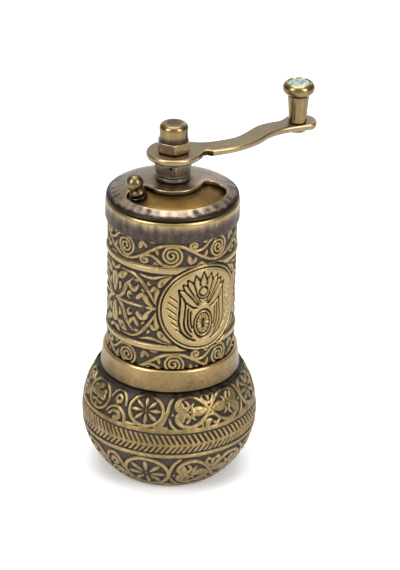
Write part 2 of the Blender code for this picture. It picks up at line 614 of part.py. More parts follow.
def make_shaft(parent):
    """Steel shaft: thread and square for the crank, round journal, square for the burr, end thread."""
    journal = round_section(SHAFT_RADIUS)
    square = square_section(SHAFT_FLATS, SHAFT_RADIUS)
    groove = round_section(SHAFT_RADIUS - CLIP_GROOVE_DEPTH)
    end_thread = round_section(SHAFT_END_THREAD_RADIUS)
    end_groove = round_section(SHAFT_END_THREAD_RADIUS - CLIP_GROOVE_DEPTH)
    top_thread = round_section(SHAFT_TOP_THREAD_RADIUS)
    chamfer = 0.4 * MM
    upper_groove_foot = UPPER_CLIP_TOP - CLIP_THICKNESS - 0.5 * SEAT_GAP
    upper_groove_top = UPPER_CLIP_TOP + 0.5 * SEAT_GAP
    end_groove_foot = END_CLIP_TOP - CLIP_THICKNESS - 0.5 * SEAT_GAP
    end_groove_top = END_CLIP_TOP + 0.5 * SEAT_GAP
    thread_top = ARM_TOP + SHAFT_TOP_THREAD_LENGTH
    stations = [
        (round_section(SHAFT_END_THREAD_RADIUS - chamfer), SHAFT_FOOT),
        (end_thread, SHAFT_FOOT + 0.5 * chamfer),
        (end_thread, end_groove_foot), (end_groove, end_groove_foot),
        (end_groove, end_groove_top), (end_thread, end_groove_top),
        (end_thread, SHAFT_SQUARE_FOOT), (square, SHAFT_SQUARE_FOOT),
        (square, SHAFT_SQUARE_TOP), (journal, SHAFT_SQUARE_TOP + 0.2 * MM),
        (journal, upper_groove_foot), (groove, upper_groove_foot),
        (groove, upper_groove_top), (journal, upper_groove_top),
        (journal, ARM_FOOT - 0.5 * SEAT_GAP), (square, ARM_FOOT),
        (square, ARM_TOP), (top_thread, ARM_TOP + 0.2 * MM),
        (top_thread, thread_top - chamfer),
        (round_section(SHAFT_TOP_THREAD_RADIUS - chamfer), thread_top),
    ]
    rings = [ring_points(section, height, SMALL_STEPS) for section, height in stations]
    shaft = new_object("drive_shaft", stacked_rings(rings), colour=STEEL, roughness=0.35, parent=parent)
    ring_disc("shaft_circlip", SHAFT_RADIUS - CLIP_GROOVE_DEPTH + KEY_CLEARANCE, CLIP_RADIUS,
              UPPER_CLIP_TOP - CLIP_THICKNESS, UPPER_CLIP_TOP, colour=STEEL, roughness=0.35, parent=parent)
    ring_disc("shaft_end_clip", SHAFT_END_THREAD_RADIUS - CLIP_GROOVE_DEPTH + KEY_CLEARANCE, END_CLIP_RADIUS,
              END_CLIP_TOP - CLIP_THICKNESS, END_CLIP_TOP, steps=TINY_STEPS,
              colour=STEEL, roughness=0.35, parent=parent)
    return shaft


def make_spacer(parent):
    """Cast spacer that lifts the crank off the cover, with flats around its taper."""
    bore = round_section(SHAFT_RADIUS + KEY_CLEARANCE)

    def tapered(radius):
        """A round section whose sides are cut to flats."""
        def radius_at(angle):
            pitch = 2.0 * math.pi / SPACER_FLAT_COUNT
            offset = (angle + 0.5 * pitch) % pitch - 0.5 * pitch
            return min(radius, 0.955 * radius / math.cos(offset))
        return radius_at
    flange_foot = SPACER_TOP - SPACER_FLANGE_HEIGHT
    foot_top = SPACER_FOOT + SPACER_FOOT_HEIGHT
    stations = [
        (bore, SPACER_FOOT),
        (round_section(SPACER_FOOT_RADIUS), SPACER_FOOT),
        (round_section(SPACER_FOOT_RADIUS), foot_top),
        (round_section(SPACER_WAIST_RADIUS), foot_top + 0.2 * MM),
        (tapered(SPACER_WAIST_RADIUS + 0.1 * MM), foot_top + 0.5 * MM),
        (tapered(SPACER_TOP_RADIUS - 0.25 * MM), flange_foot - 0.3 * MM),
        (round_section(SPACER_TOP_RADIUS), flange_foot),
        (round_section(SPACER_TOP_RADIUS), SPACER_TOP - 0.2 * MM),
        (round_section(SPACER_TOP_RADIUS - 0.2 * MM), SPACER_TOP),
        (bore, SPACER_TOP),
    ]
    rings = [ring_points(section, height, SMALL_STEPS) for section, height in stations]
    return new_object("spacer_collar", stacked_rings(rings, closed_column=True),
                      colour=PEWTER, roughness=0.5, parent=parent)


def smooth_path(points, steps):
    """A smooth curve through points, as straight steps between them."""
    first = points[0] * 2.0 - points[1]
    last = points[-1] * 2.0 - points[-2]
    chain = [first] + points + [last]
    path = []
    for index in range(1, len(chain) - 2):
        before, start, end, after = chain[index - 1:index + 3]
        for step in range(steps):
            t = step / steps
            path.append(0.5 * (2.0 * start + (end - before) * t
                               + (2.0 * before - 5.0 * start + 4.0 * end - after) * t ** 2
                               + (3.0 * start - before - 3.0 * end + after) * t ** 3))
    path.append(points[-1])
    return path


def arm_outline():
    """The crank's flat outline: hub eye, swaying arm and end eye, along the reach as X."""
    stations = ((0.24, -0.65, 1.10), (0.37, -1.0, 1.02), (0.50, -0.98, 0.95), (0.62, -0.52, 1.07),
                (0.715, 0.02, 1.05), (0.80, 0.20, 1.0), (0.90, 0.15, 0.95))
    far_side = []
    near_side = []
    for share, sway, width in stations:
        middle = Vector((share * ARM_REACH, sway * ARM_SWAY))
        half = Vector((0.0, 0.5 * width * ARM_WIDTH))
        far_side.append(middle + half)
        near_side.append(middle - half)
    hub_leave = math.radians(38.0)
    hub_front = math.radians(-72.0)
    hub_corner = math.radians(-38.0)
    eye_far = math.radians(130.0)
    eye_near = math.radians(-72.0)
    hub_point = ARM_HUB_RADIUS * Vector((math.cos(hub_leave), math.sin(hub_leave)))
    front_leave = ARM_HUB_RADIUS * Vector((math.cos(hub_front), math.sin(hub_front)))
    corner = 1.1 * ARM_HUB_RADIUS * Vector((math.cos(hub_corner), math.sin(hub_corner)))
    notch_end = corner + ARM_NOTCH_RADIUS * Vector((2.2, -0.3))
    eye = Vector((ARM_REACH + ARM_EYE_OVERHANG, ARM_EYE_OFFSET))
    far_point = eye + ARM_EYE_RADIUS * Vector((math.cos(eye_far), math.sin(eye_far)))
    near_point = eye + ARM_EYE_RADIUS * Vector((math.cos(eye_near), math.sin(eye_near)))
    far_edge = smooth_path([hub_point] + far_side + [far_point], 4)
    near_edge = smooth_path([near_point] + near_side[:0:-1] + [notch_end], 4)
    points = []
    for index in range(17):
        angle = hub_front - (2.0 * math.pi - hub_leave + hub_front) * index / 16.0
        points.append(Vector((ARM_HUB_RADIUS * math.cos(angle), ARM_HUB_RADIUS * math.sin(angle))))
    points += far_edge[1:-1]
    for index in range(13):
        angle = eye_far + (eye_near - eye_far) * index / 12.0
        points.append(eye + Vector((ARM_EYE_RADIUS * math.cos(angle), ARM_EYE_RADIUS * math.sin(angle))))
    points += near_edge[1:]
    points.append(corner + ARM_NOTCH_RADIUS * Vector((1.5, 0.6)))
    points.append(corner + ARM_NOTCH_RADIUS * Vector((0.6, 0.7)))
    points.append(corner)
    points.append(0.5 * (corner + front_leave) + Vector((0.0, -0.25 * MM)))
    return points


def make_crank(parent):
    """Flat forged crank arm with a square hole on the shaft and a round hole for the grip's pin."""
    turn = Matrix.Rotation(ARM_ANGLE, 2)
    outline = [turn @ point for point in arm_outline()]
    arm = new_object("crank_arm", prism([(point.x, point.y) for point in outline], ARM_FOOT, ARM_TOP),
                     colour=ANTIQUE_BRASS, roughness=0.35, parent=parent)
    round_edges(arm, ARM_EDGE_ROUND)
    square = square_section(SHAFT_FLATS + 2.0 * KEY_CLEARANCE, SHAFT_RADIUS + KEY_CLEARANCE)
    over = ARM_THICKNESS
    hole = stacked_rings([ring_points(square, ARM_FOOT - over, SMALL_STEPS),
                          ring_points(square, ARM_TOP + over, SMALL_STEPS)])
    cut(arm, cutter("arm_square_cutter", hole))
    pin_hole = round_section(GRIP_PIN_RADIUS + SLIDE_CLEARANCE)
    hole = stacked_rings([ring_points(pin_hole, ARM_FOOT - over, TINY_STEPS),
                          ring_points(pin_hole, ARM_TOP + over, TINY_STEPS)])
    tool = cutter("arm_pin_cutter", hole)
    tool.location = GRIP_CENTRE
    cut(arm, tool)
    return arm


def make_nut(parent):
    """Tall cap nut: chamfered hexagon, waist and a round-edged dome."""
    corner = 0.5 * NUT_ACROSS_FLATS / math.cos(math.pi / 6.0)

    def hexagon(limit):
        def radius_at(angle):
            offset = angle % (math.pi / 3.0) - math.pi / 6.0
            return min(limit, 0.5 * NUT_ACROSS_FLATS / math.cos(offset))
        return radius_at
    bore = round_section(SHAFT_TOP_THREAD_RADIUS + RUNNING_CLEARANCE)
    bore_top = ARM_TOP + SHAFT_TOP_THREAD_LENGTH + SEAT_GAP
    hex_top = NUT_FOOT + NUT_HEX_HEIGHT
    chamfer = 0.4 * MM
    crown = NUT_FOOT + NUT_HEIGHT
    round_over = 1.3 * MM
    stations = [
        (round_section(0.05 * MM), bore_top), (bore, bore_top), (bore, NUT_FOOT),
        (hexagon(corner - chamfer), NUT_FOOT), (hexagon(corner), NUT_FOOT + 0.6 * chamfer),
        (hexagon(corner), hex_top - 1.4 * chamfer),
        (hexagon(0.5 * NUT_ACROSS_FLATS), hex_top - 0.2 * chamfer),
        (round_section(NUT_DOME_RADIUS), hex_top + 0.3 * MM),
        (round_section(NUT_DOME_RADIUS - 0.15 * MM), hex_top + 0.9 * MM),
        (round_section(NUT_DOME_RADIUS - 0.1 * MM), crown - round_over),
        (round_section(NUT_DOME_RADIUS - 0.1 * MM - 0.13 * round_over), crown - 0.5 * round_over),
        (round_section(NUT_DOME_RADIUS - 0.1 * MM - 0.5 * round_over), crown - 0.13 * round_over),
        (round_section(NUT_DOME_RADIUS - 0.1 * MM - round_over), crown),
        (round_section(0.5 * MM), crown),
    ]
    rings = [ring_points(section, height, MEDIUM_STEPS, NUT_TURN) for section, height in stations]
    return new_object("cap_nut", stacked_rings(rings), colour=WORN_BRASS, roughness=0.3, parent=parent)


def make_grip(arm_parent, grip_parent):
    """Turned grip that spins on a pin riveted through the crank, with a pearly disc in its head."""
    pin_foot = ARM_FOOT - SEAT_GAP - GRIP_PIN_TAIL_HEIGHT
    inlay_foot = GRIP_TOP - INLAY_CROWN - INLAY_THICKNESS
    head_top = inlay_foot - SEAT_GAP
    head_foot = head_top - GRIP_PIN_HEAD_HEIGHT
    outline = [(0.0, pin_foot), (GRIP_PIN_TAIL_RADIUS - 0.3 * MM, pin_foot)]
    outline += [(GRIP_PIN_TAIL_RADIUS, pin_foot + 0.3 * MM)]
    outline += [(GRIP_PIN_TAIL_RADIUS, ARM_FOOT - SEAT_GAP), (GRIP_PIN_RADIUS, ARM_FOOT - SEAT_GAP)]
    outline += [(GRIP_PIN_RADIUS, head_foot), (GRIP_PIN_HEAD_RADIUS, head_foot)]
    outline += [(GRIP_PIN_HEAD_RADIUS, head_top), (0.0, head_top)]
    pin = new_object("grip_pin", spin_profile(outline, TINY_STEPS, closed=False),
                     colour=STEEL, roughness=0.35)
    body_foot = GRIP_FOOT
    neck = GRIP_TOP - GRIP_HEAD_HEIGHT
    bore = GRIP_PIN_RADIUS + RUNNING_CLEARANCE
    pocket = GRIP_PIN_HEAD_RADIUS + SLIDE_CLEARANCE
    seat = INLAY_RADIUS + SLIDE_CLEARANCE
    lip = seat + 0.3 * MM
    head_half = 0.5 * (GRIP_HEAD_HEIGHT - 0.4 * MM)
    head_middle = neck + 0.4 * MM + head_half - 0.2 * MM
    outline = [(bore, body_foot), (GRIP_STEM_FOOT_RADIUS - 0.2 * MM, body_foot)]
    outline += [(GRIP_STEM_FOOT_RADIUS, body_foot + 0.2 * MM)]
    outline += [(GRIP_STEM_TOP_RADIUS, neck - 0.3 * MM), (GRIP_STEM_TOP_RADIUS - 0.25 * MM, neck)]
    outline += [(GRIP_STEM_TOP_RADIUS, neck + 0.25 * MM)]
    for angle in (-62.0, -36.0, -12.0, 12.0, 36.0, 62.0):
        radians = math.radians(angle)
        outline.append((lip + (GRIP_HEAD_RADIUS - lip) * math.cos(radians),
                        head_middle + head_half * math.sin(radians)))
    outline += [(lip, GRIP_TOP - 0.5 * INLAY_CROWN), (seat, GRIP_TOP - INLAY_CROWN)]
    outline += [(seat, inlay_foot - 0.5 * SEAT_GAP), (pocket, inlay_foot - 0.5 * SEAT_GAP)]
    outline += [(pocket, head_foot - SEAT_GAP), (bore, head_foot - SEAT_GAP)]
    body = new_object("grip_body", spin_profile(outline, SMALL_STEPS, closed=True),
                      colour=WORN_BRASS, roughness=0.3)
    outline = [(0.0, inlay_foot), (INLAY_RADIUS, inlay_foot), (INLAY_RADIUS, GRIP_TOP - INLAY_CROWN)]
    outline += [(0.6 * INLAY_RADIUS, GRIP_TOP - 0.36 * INLAY_CROWN), (0.0, GRIP_TOP)]
    inlay = new_object("grip_inlay", spin_profile(outline, SMALL_STEPS, closed=False),
                       colour=PEARL, roughness=0.15, metallic=0.0)
    for piece, carrier in ((pin, arm_parent), (body, grip_parent), (inlay, grip_parent)):
        piece.parent = carrier
        piece.matrix_parent_inverse = carrier.matrix_world.inverted()
        piece.location = GRIP_CENTRE
    return body


def make_bridge(parent):
    """Three-armed bridge over the burrs, its bush, and the screws that clamp the outer burr."""
    outer = BARREL_BORE_RADIUS - SLIDE_CLEARANCE
    inner = outer - BRIDGE_RING_WIDTH
    hub_bore = BUSH_RADIUS + KEY_CLEARANCE
    bridge = new_object("bridge_spider", spin_profile(
        [(hub_bore, BRIDGE_FOOT), (outer, BRIDGE_FOOT), (outer, BRIDGE_TOP), (hub_bore, BRIDGE_TOP)],
        MEDIUM_STEPS, closed=True), colour=STEEL, roughness=0.45, parent=parent)
    pitch = 2.0 * math.pi / BRIDGE_SCREW_COUNT
    foot_half = SCREW_HEAD_RADIUS + 0.6 * MM
    for index in range(BRIDGE_SCREW_COUNT):
        arm_angle = math.pi / 2.0 + index * pitch
        window = []
        hub_side = math.asin(0.5 * BRIDGE_ARM_WIDTH / BRIDGE_HUB_RADIUS)
        rim_side = math.asin(foot_half / inner)
        for step in range(7):
            angle = arm_angle + hub_side + (pitch - 2.0 * hub_side) * step / 6.0
            window.append((BRIDGE_HUB_RADIUS * math.cos(angle), BRIDGE_HUB_RADIUS * math.sin(angle)))
        for step in range(11):
            angle = arm_angle + pitch - rim_side - (pitch - 2.0 * rim_side) * step / 10.0
            window.append((inner * math.cos(angle), inner * math.sin(angle)))
        tool = cutter("bridge_window_cutter_%d" % (index + 1),
                      prism(window, BRIDGE_FOOT - BRIDGE_THICKNESS, BRIDGE_TOP + BRIDGE_THICKNESS))
        cut(bridge, tool)
    shank_hole = round_section(SCREW_RADIUS + SLIDE_CLEARANCE)
    thread_foot = BRIDGE_TOP + SEAT_GAP - SCREW_LENGTH
    screws = []
    for index in range(BRIDGE_SCREW_COUNT):
        angle = math.pi / 2.0 + index * pitch
        place = Vector((BRIDGE_SCREW_CIRCLE * math.cos(angle), BRIDGE_SCREW_CIRCLE * math.sin(angle), 0.0))
        tool = cutter("screw_hole_cutter_%d" % (index + 1), stacked_rings(
            [ring_points(shank_hole, thread_foot - SEAT_GAP, TINY_STEPS),
             ring_points(shank_hole, BRIDGE_TOP + BRIDGE_THICKNESS, TINY_STEPS)]))
        tool.location = place
        cut(bridge, tool)
        screws.append((index + 1, place, angle, tool))
    head_foot = BRIDGE_TOP + SEAT_GAP
    head_top = head_foot + SCREW_HEAD_HEIGHT
    for number, place, angle, tool in screws:
        outline = [(0.0, thread_foot), (SCREW_RADIUS - 0.3 * MM, thread_foot)]
        outline += [(SCREW_RADIUS, thread_foot + 0.3 * MM)]
        outline += [(SCREW_RADIUS, head_foot), (SCREW_HEAD_RADIUS, head_foot)]
        outline += [(SCREW_HEAD_RADIUS, head_top - 0.4 * MM)]
        outline += [(SCREW_HEAD_RADIUS - 0.5 * MM, head_top), (0.0, head_top)]
        screw = new_object("bridge_screw_%d" % number, spin_profile(outline, TINY_STEPS, closed=False),
                           colour=STEEL, roughness=0.4)
        half_width = 0.5 * SCREW_SLOT_WIDTH
        reach = SCREW_HEAD_RADIUS + SEAT_GAP
        slot = [(-reach, -half_width), (reach, -half_width), (reach, half_width), (-reach, half_width)]
        slot_tool = cutter("screw_slot_cutter_%d" % number,
                           prism(slot, head_top - SCREW_SLOT_DEPTH, head_top + SCREW_SLOT_DEPTH))
        slot_tool.location = place
        slot_tool.rotation_euler.z = angle + math.radians(25.0)
        cut(screw, slot_tool)
        screw.parent = parent
        screw.matrix_parent_inverse = parent.matrix_world.inverted()
        screw.location = place
    outline = [(BUSH_BORE_RADIUS, BRIDGE_BUSH_FOOT), (BRIDGE_BUSH_FLANGE_RADIUS, BRIDGE_BUSH_FOOT)]
    outline += [(BRIDGE_BUSH_FLANGE_RADIUS, BRIDGE_BUSH_FLANGE_TOP), (BUSH_RADIUS, BRIDGE_BUSH_FLANGE_TOP)]
    outline += [(BUSH_RADIUS, BRIDGE_TOP), (BUSH_BORE_RADIUS, BRIDGE_TOP)]
    new_object("bridge_bush", spin_profile(outline, SMALL_STEPS, closed=True),
               colour=WORN_BRASS, roughness=0.4, parent=parent)
    return [tool for number, place, angle, tool in screws]


def toothed(radius, depth, teeth):
    """A section whose points step in and out between ridge and groove."""
    def radius_at(angle):
        phase = (angle * teeth / (2.0 * math.pi)) % 1.0
        return radius if phase < 0.25 else radius - depth
    return radius_at


def make_outer_burr(parent, screw_holes):
    """Hardened ring with a toothed cone inside, held up against the barrel's ledge."""
    outer = round_section(BARREL_BORE_RADIUS - SLIDE_CLEARANCE)
    steps = 2 * OUTER_BURR_TEETH
    throat = OUTER_BURR_FOOT + OUTER_BURR_THROAT_HEIGHT

    def grooved(radius):
        return toothed(radius, -OUTER_BURR_TOOTH_DEPTH, OUTER_BURR_TEETH)
    stations = [
        (outer, OUTER_BURR_FOOT), (outer, OUTER_BURR_TOP),
        (round_section(OUTER_BURR_MOUTH_RADIUS), OUTER_BURR_TOP),
        (round_section(OUTER_BURR_THROAT_RADIUS + 0.4 * MM), throat + 1.2 * MM),
        (grooved(OUTER_BURR_THROAT_RADIUS), throat),
        (grooved(OUTER_BURR_FOOT_RADIUS), OUTER_BURR_FOOT),
    ]
    rings = [ring_points(section, height, steps) for section, height in stations]
    burr = new_object("outer_burr", stacked_rings(rings, closed_column=True),
                      colour=STEEL, roughness=0.5, parent=parent)
    for tool in screw_holes:
        cut(burr, tool)
    return burr


def make_inner_burr(parent):
    """Toothed cone that slides on the shaft's square, with a pocket for the spring."""
    steps = 2 * INNER_BURR_TEETH
    key = square_section(SHAFT_FLATS + 2.0 * KEY_CLEARANCE, SHAFT_RADIUS + KEY_CLEARANCE)
    pocket = round_section(SPRING_RADIUS + SPRING_WIRE_RADIUS + SEAT_GAP)
    neck = INNER_BURR_FOOT + INNER_BURR_NECK_HEIGHT
    pocket_foot = INNER_BURR_TOP - SPRING_POCKET_DEPTH

    def ridged(radius):
        return toothed(radius, INNER_BURR_TOOTH_DEPTH, INNER_BURR_TEETH)
    stations = [
        (key, INNER_BURR_FOOT, 0.0),
        (ridged(INNER_BURR_FOOT_RADIUS - 0.3 * MM), INNER_BURR_FOOT, 0.0),
        (ridged(INNER_BURR_FOOT_RADIUS), INNER_BURR_FOOT + 0.5 * MM, 0.0),
        (ridged(0.5 * (INNER_BURR_FOOT_RADIUS + INNER_BURR_NECK_RADIUS)),
         0.5 * (INNER_BURR_FOOT + 0.5 * MM + neck), 0.5 * INNER_BURR_TWIST),
        (ridged(INNER_BURR_NECK_RADIUS + 0.6 * MM), neck, INNER_BURR_TWIST),
        (round_section(INNER_BURR_HUB_RADIUS), neck + 0.6 * MM, INNER_BURR_TWIST),
        (round_section(INNER_BURR_HUB_RADIUS), INNER_BURR_TOP, INNER_BURR_TWIST),
        (pocket, INNER_BURR_TOP, 0.0), (pocket, pocket_foot, 0.0), (key, pocket_foot, 0.0),
    ]
    rings = []
    for section, height, turn in stations:
        rings.append(ring_points(section, height, steps, turn))
    return new_object("inner_burr", stacked_rings(rings, closed_column=True),
                      colour=STEEL, roughness=0.5, parent=parent)


def make_spring(parent):
    """Compression spring around the shaft, one unbroken wire from washer to burr."""
    rise = (SPRING_TOP - SPRING_FOOT - 2.0 * SPRING_WIRE_RADIUS) / SPRING_TURNS
    count = int(SPRING_TURNS * SPRING_POINTS_PER_TURN) + 1
    curve = bpy.data.curves.new("burr_spring", 'CURVE')
    curve.dimensions = '3D'
    curve.bevel_depth = SPRING_WIRE_RADIUS
    curve.bevel_resolution = 1
    curve.use_fill_caps = True
    wire = curve.splines.new('POLY')
    wire.points.add(count - 1)
    for index, point in enumerate(wire.points):
        turn = index / SPRING_POINTS_PER_TURN
        angle = 2.0 * math.pi * turn
        height = SPRING_FOOT + SPRING_WIRE_RADIUS + rise * turn
        point.co = (SPRING_RADIUS * math.cos(angle), SPRING_RADIUS * math.sin(angle), height, 1.0)
    print("least gap between the spring's turns: %.2f mm" % ((rise - 2.0 * SPRING_WIRE_RADIUS) / MM))
    spring = bpy.data.objects.new("burr_spring", curve)
    bpy.context.scene.collection.objects.link(spring)
    curve.materials.append(metal("burr_spring", STEEL, 0.3))
    spring.parent = parent
    spring.matrix_parent_inverse = parent.matrix_world.inverted()
    ring_disc("spring_seat_washer", SHAFT_RADIUS + SLIDE_CLEARANCE,
              SPRING_RADIUS + SPRING_WIRE_RADIUS + SEAT_GAP,
              SEAT_WASHER_TOP - SEAT_WASHER_THICKNESS, SEAT_WASHER_TOP,
              colour=STEEL, roughness=0.35, parent=parent)


def make_adjuster(burr_parent, adjuster_parent):
    """Knurled nut on the shaft's end thread, and the thrust washer between it and the burr."""
    ring_disc("thrust_washer", SHAFT_RADIUS + SLIDE_CLEARANCE, THRUST_WASHER_RADIUS,
              THRUST_WASHER_TOP - THRUST_WASHER_THICKNESS, THRUST_WASHER_TOP,
              colour=WORN_BRASS, roughness=0.4, parent=burr_parent)
    steps = 4 * ADJUSTER_KNURLS
    bore = round_section(SHAFT_END_THREAD_RADIUS + RUNNING_CLEARANCE)

    def knurled(radius):
        def radius_at(angle):
            wave = 0.5 + 0.5 * math.cos(angle * ADJUSTER_KNURLS)
            return radius - ADJUSTER_KNURL_DEPTH * (1.0 - wave)
        return radius_at
    stations = [
        (bore, ADJUSTER_FOOT), (knurled(ADJUSTER_RADIUS - 0.4 * MM), ADJUSTER_FOOT),
        (knurled(ADJUSTER_RADIUS), ADJUSTER_FOOT + 0.3 * MM),
        (knurled(ADJUSTER_RADIUS), ADJUSTER_TOP - 0.3 * MM),
        (knurled(ADJUSTER_RADIUS - 0.4 * MM), ADJUSTER_TOP), (bore, ADJUSTER_TOP),
    ]
    rings = [ring_points(section, height, steps) for section, height in stations]
    return new_object("adjuster_nut", stacked_rings(rings, closed_column=True),
                      colour=WORN_BRASS, roughness=0.4, parent=adjuster_parent)


clear_scene()
barrel_slide = pivot("barrel_slide_axis", Vector((0.0, 0.0, BARREL_FOOT)))
shutter_axis = pivot("shutter_axis", Vector((0.0, 0.0, SHUTTER_TOP)), barrel_slide)
drive_axis = pivot("drive_axis", Vector((0.0, 0.0, COVER_BUSH_TOP)), barrel_slide)
grip_axis = pivot("grip_axis", GRIP_CENTRE + Vector((0.0, 0.0, GRIP_FOOT)), drive_axis)
burr_axis = pivot("burr_axis", Vector((0.0, 0.0, INNER_BURR_FOOT)), drive_axis)
adjuster_axis = pivot("adjuster_axis", Vector((0.0, 0.0, ADJUSTER_TOP)), burr_axis)

make_bowl()
make_barrel(barrel_slide)
make_cover(barrel_slide)
make_cover_bearing(barrel_slide)
burr_screw_holes = make_bridge(barrel_slide)
make_outer_burr(barrel_slide, burr_screw_holes)
make_shutter(shutter_axis)
make_shaft(drive_axis)
make_spacer(drive_axis)
make_crank(drive_axis)
make_nut(drive_axis)
make_spring(drive_axis)
make_grip(drive_axis, grip_axis)
make_inner_burr(burr_axis)
make_adjuster(burr_axis, adjuster_axis)
bpy.context.view_layer.update()
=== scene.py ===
"""Looks of a hand spice mill in antiqued brass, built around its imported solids.

Metres, +Z up, the mill's axis at the origin. The filling slot faces -Y and the crank points to +X.
"""
import math

import bpy
import numpy as np
from mathutils import Matrix, Vector


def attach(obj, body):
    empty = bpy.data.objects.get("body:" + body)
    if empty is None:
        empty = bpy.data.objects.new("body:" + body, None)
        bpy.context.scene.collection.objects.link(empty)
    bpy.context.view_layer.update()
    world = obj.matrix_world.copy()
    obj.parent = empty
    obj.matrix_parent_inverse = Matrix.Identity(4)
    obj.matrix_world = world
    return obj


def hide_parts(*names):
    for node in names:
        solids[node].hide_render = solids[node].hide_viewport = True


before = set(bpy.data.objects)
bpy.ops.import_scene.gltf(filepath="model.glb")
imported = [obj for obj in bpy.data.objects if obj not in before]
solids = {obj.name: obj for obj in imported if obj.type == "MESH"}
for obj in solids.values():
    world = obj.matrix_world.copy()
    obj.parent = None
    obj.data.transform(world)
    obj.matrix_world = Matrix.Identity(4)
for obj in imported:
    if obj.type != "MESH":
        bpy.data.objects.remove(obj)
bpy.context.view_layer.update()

MM = 0.001

# Bowl, lower frieze. A hollow casting in brass that collects the ground spice: blackened after
# casting, then buffed, so that the raised rosettes and loops shine and the ground between stays dark.

BOWL_RADIUS = 24.1
BOWL_WIDEST = 17.0
BASE_RADIUS = 15.6
SHOULDER_RADIUS = 19.8
SHOULDER = 30.5
CARVED_DEPTH = 0.55
SHELL_WALL = 1.0
QUARTER = math.pi / 2.0


def bowl_radius(z, wall=0.0):
    """Outside radius of the bowl at a height: two half ellipses that meet where it is widest."""
    z = np.asarray(z, dtype=float)
    upper = (SHOULDER - BOWL_WIDEST) / math.sqrt(1.0 - (SHOULDER_RADIUS / BOWL_RADIUS) ** 2)
    lower = BOWL_WIDEST / math.sqrt(1.0 - (BASE_RADIUS / BOWL_RADIUS) ** 2)
    reach = np.where(z >= BOWL_WIDEST, upper, lower)
    return (BOWL_RADIUS - wall) * np.sqrt(1.0 - ((z - BOWL_WIDEST) / reach) ** 2)


def bowl_outline(z_low, z_high, rows):
    """Heights and radii of evenly spaced rows on the bowl, and the arc length between the ends, in mm."""
    z = np.linspace(z_low, z_high, 400)
    r = bowl_radius(z)
    arc = np.concatenate([[0.0], np.cumsum(np.hypot(np.diff(z), np.diff(r)))])
    even = np.linspace(0.0, arc[-1], rows)
    z_rows = np.interp(even, arc, z)
    return z_rows, bowl_radius(z_rows), arc[-1]


class Sheet:
    """One repeat of a carved band laid out flat, in mm: x runs round the piece and y up it."""

    def __init__(self, width, height, columns, rows):
        self.width = width
        self.height = height
        self.columns = columns
        self.rows = rows
        self.relief = np.zeros((rows, columns))

    def patch(self, low_x, high_x, low_y, high_y):
        """Rows, columns and their places within a part of the sheet that may run over its sides."""
        step_x = self.width / self.columns
        step_y = self.height / (self.rows - 1)
        first, last = math.floor(low_x / step_x), math.ceil(high_x / step_x)
        bottom = max(0, math.floor(low_y / step_y))
        top = min(self.rows - 1, math.ceil(high_y / step_y))
        if bottom > top:
            return None
        column = np.arange(first, last + 1)
        row = np.arange(bottom, top + 1)
        place_x, place_y = np.meshgrid(column * step_x, row * step_y)
        return np.ix_(row, column % self.columns), place_x, place_y


def soft_step(value):
    value = np.clip(value, 0.0, 1.0)
    return value * value * (3.0 - 2.0 * value)


def raise_line(sheet, points, half_widths, height, edge=0.26, crown=0.12, carve=False):
    """A rounded ridge along a path, or with carve a groove of that depth cut into what is there."""
    if np.ndim(half_widths) == 0:
        half_widths = [half_widths] * len(points)
    for index in range(len(points) - 1):
        (ax, ay), (bx, by) = points[index], points[index + 1]
        wa, wb = half_widths[index], half_widths[index + 1]
        margin = max(wa, wb) + edge
        found = sheet.patch(min(ax, bx) - margin, max(ax, bx) + margin,
                            min(ay, by) - margin, max(ay, by) + margin)
        if found is None:
            continue
        where, x, y = found
        length = max((bx - ax) ** 2 + (by - ay) ** 2, 1e-9)
        along = np.clip(((x - ax) * (bx - ax) + (y - ay) * (by - ay)) / length, 0.0, 1.0)
        away = np.hypot(x - ax - along * (bx - ax), y - ay - along * (by - ay))
        half = wa + (wb - wa) * along
        shape = soft_step((half - away) / edge + 0.5)
        if carve:
            cut = sheet.relief[where] - height * shape
            sheet.relief[where] = np.minimum(sheet.relief[where], np.maximum(cut, 0.0))
        else:
            domed = height * shape * (1.0 - crown * (away / (half + edge)) ** 2)
            sheet.relief[where] = np.maximum(sheet.relief[where], domed)


def raise_band(sheet, low, high, height, edge=0.26, carve=False):
    """A plain raised band, or with carve a groove, that runs all round between two heights on the sheet."""
    y = np.arange(sheet.rows) * sheet.height / (sheet.rows - 1)
    shape = soft_step((0.5 * (high - low) - np.abs(y - 0.5 * (low + high))) / edge + 0.5)[:, None]
    if carve:
        sheet.relief = np.minimum(sheet.relief, np.maximum(sheet.relief - height * shape, 0.0))
    else:
        sheet.relief = np.maximum(sheet.relief, height * shape)


def raise_disc(sheet, centre, radius, height, edge=0.26, crown=0.2):
    raise_line(sheet, [centre, (centre[0] + 1e-4, centre[1])], radius, height, edge, crown)


def round_of(middle, radius, degrees, squash=1.0):
    """A point on a circle or oval, by its angle in degrees anticlockwise from +x."""
    angle = math.radians(degrees)
    return (middle[0] + radius * math.cos(angle), middle[1] + squash * radius * math.sin(angle))


def ring_path(middle, radius, start=0.0, turn=360.0, steps=40, squash=1.0):
    """Points along a circle or oval, from a start angle through a turn."""
    return [round_of(middle, radius, start + turn * index / steps, squash) for index in range(steps + 1)]


def smooth_path(points, steps=6):
    """A flowing line through the given points."""
    ends = [points[0]] + list(points) + [points[-1]]
    path = []
    for a, b, c, d in zip(ends, ends[1:], ends[2:], ends[3:]):
        for index in range(steps):
            t = index / steps
            path.append(tuple(
                0.5 * (2 * b[k] + (c[k] - a[k]) * t + (2 * a[k] - 5 * b[k] + 4 * c[k] - d[k]) * t * t
                       + (3 * b[k] - a[k] - 3 * c[k] + d[k]) * t ** 3) for k in (0, 1)))
    path.append(tuple(points[-1]))
    return path


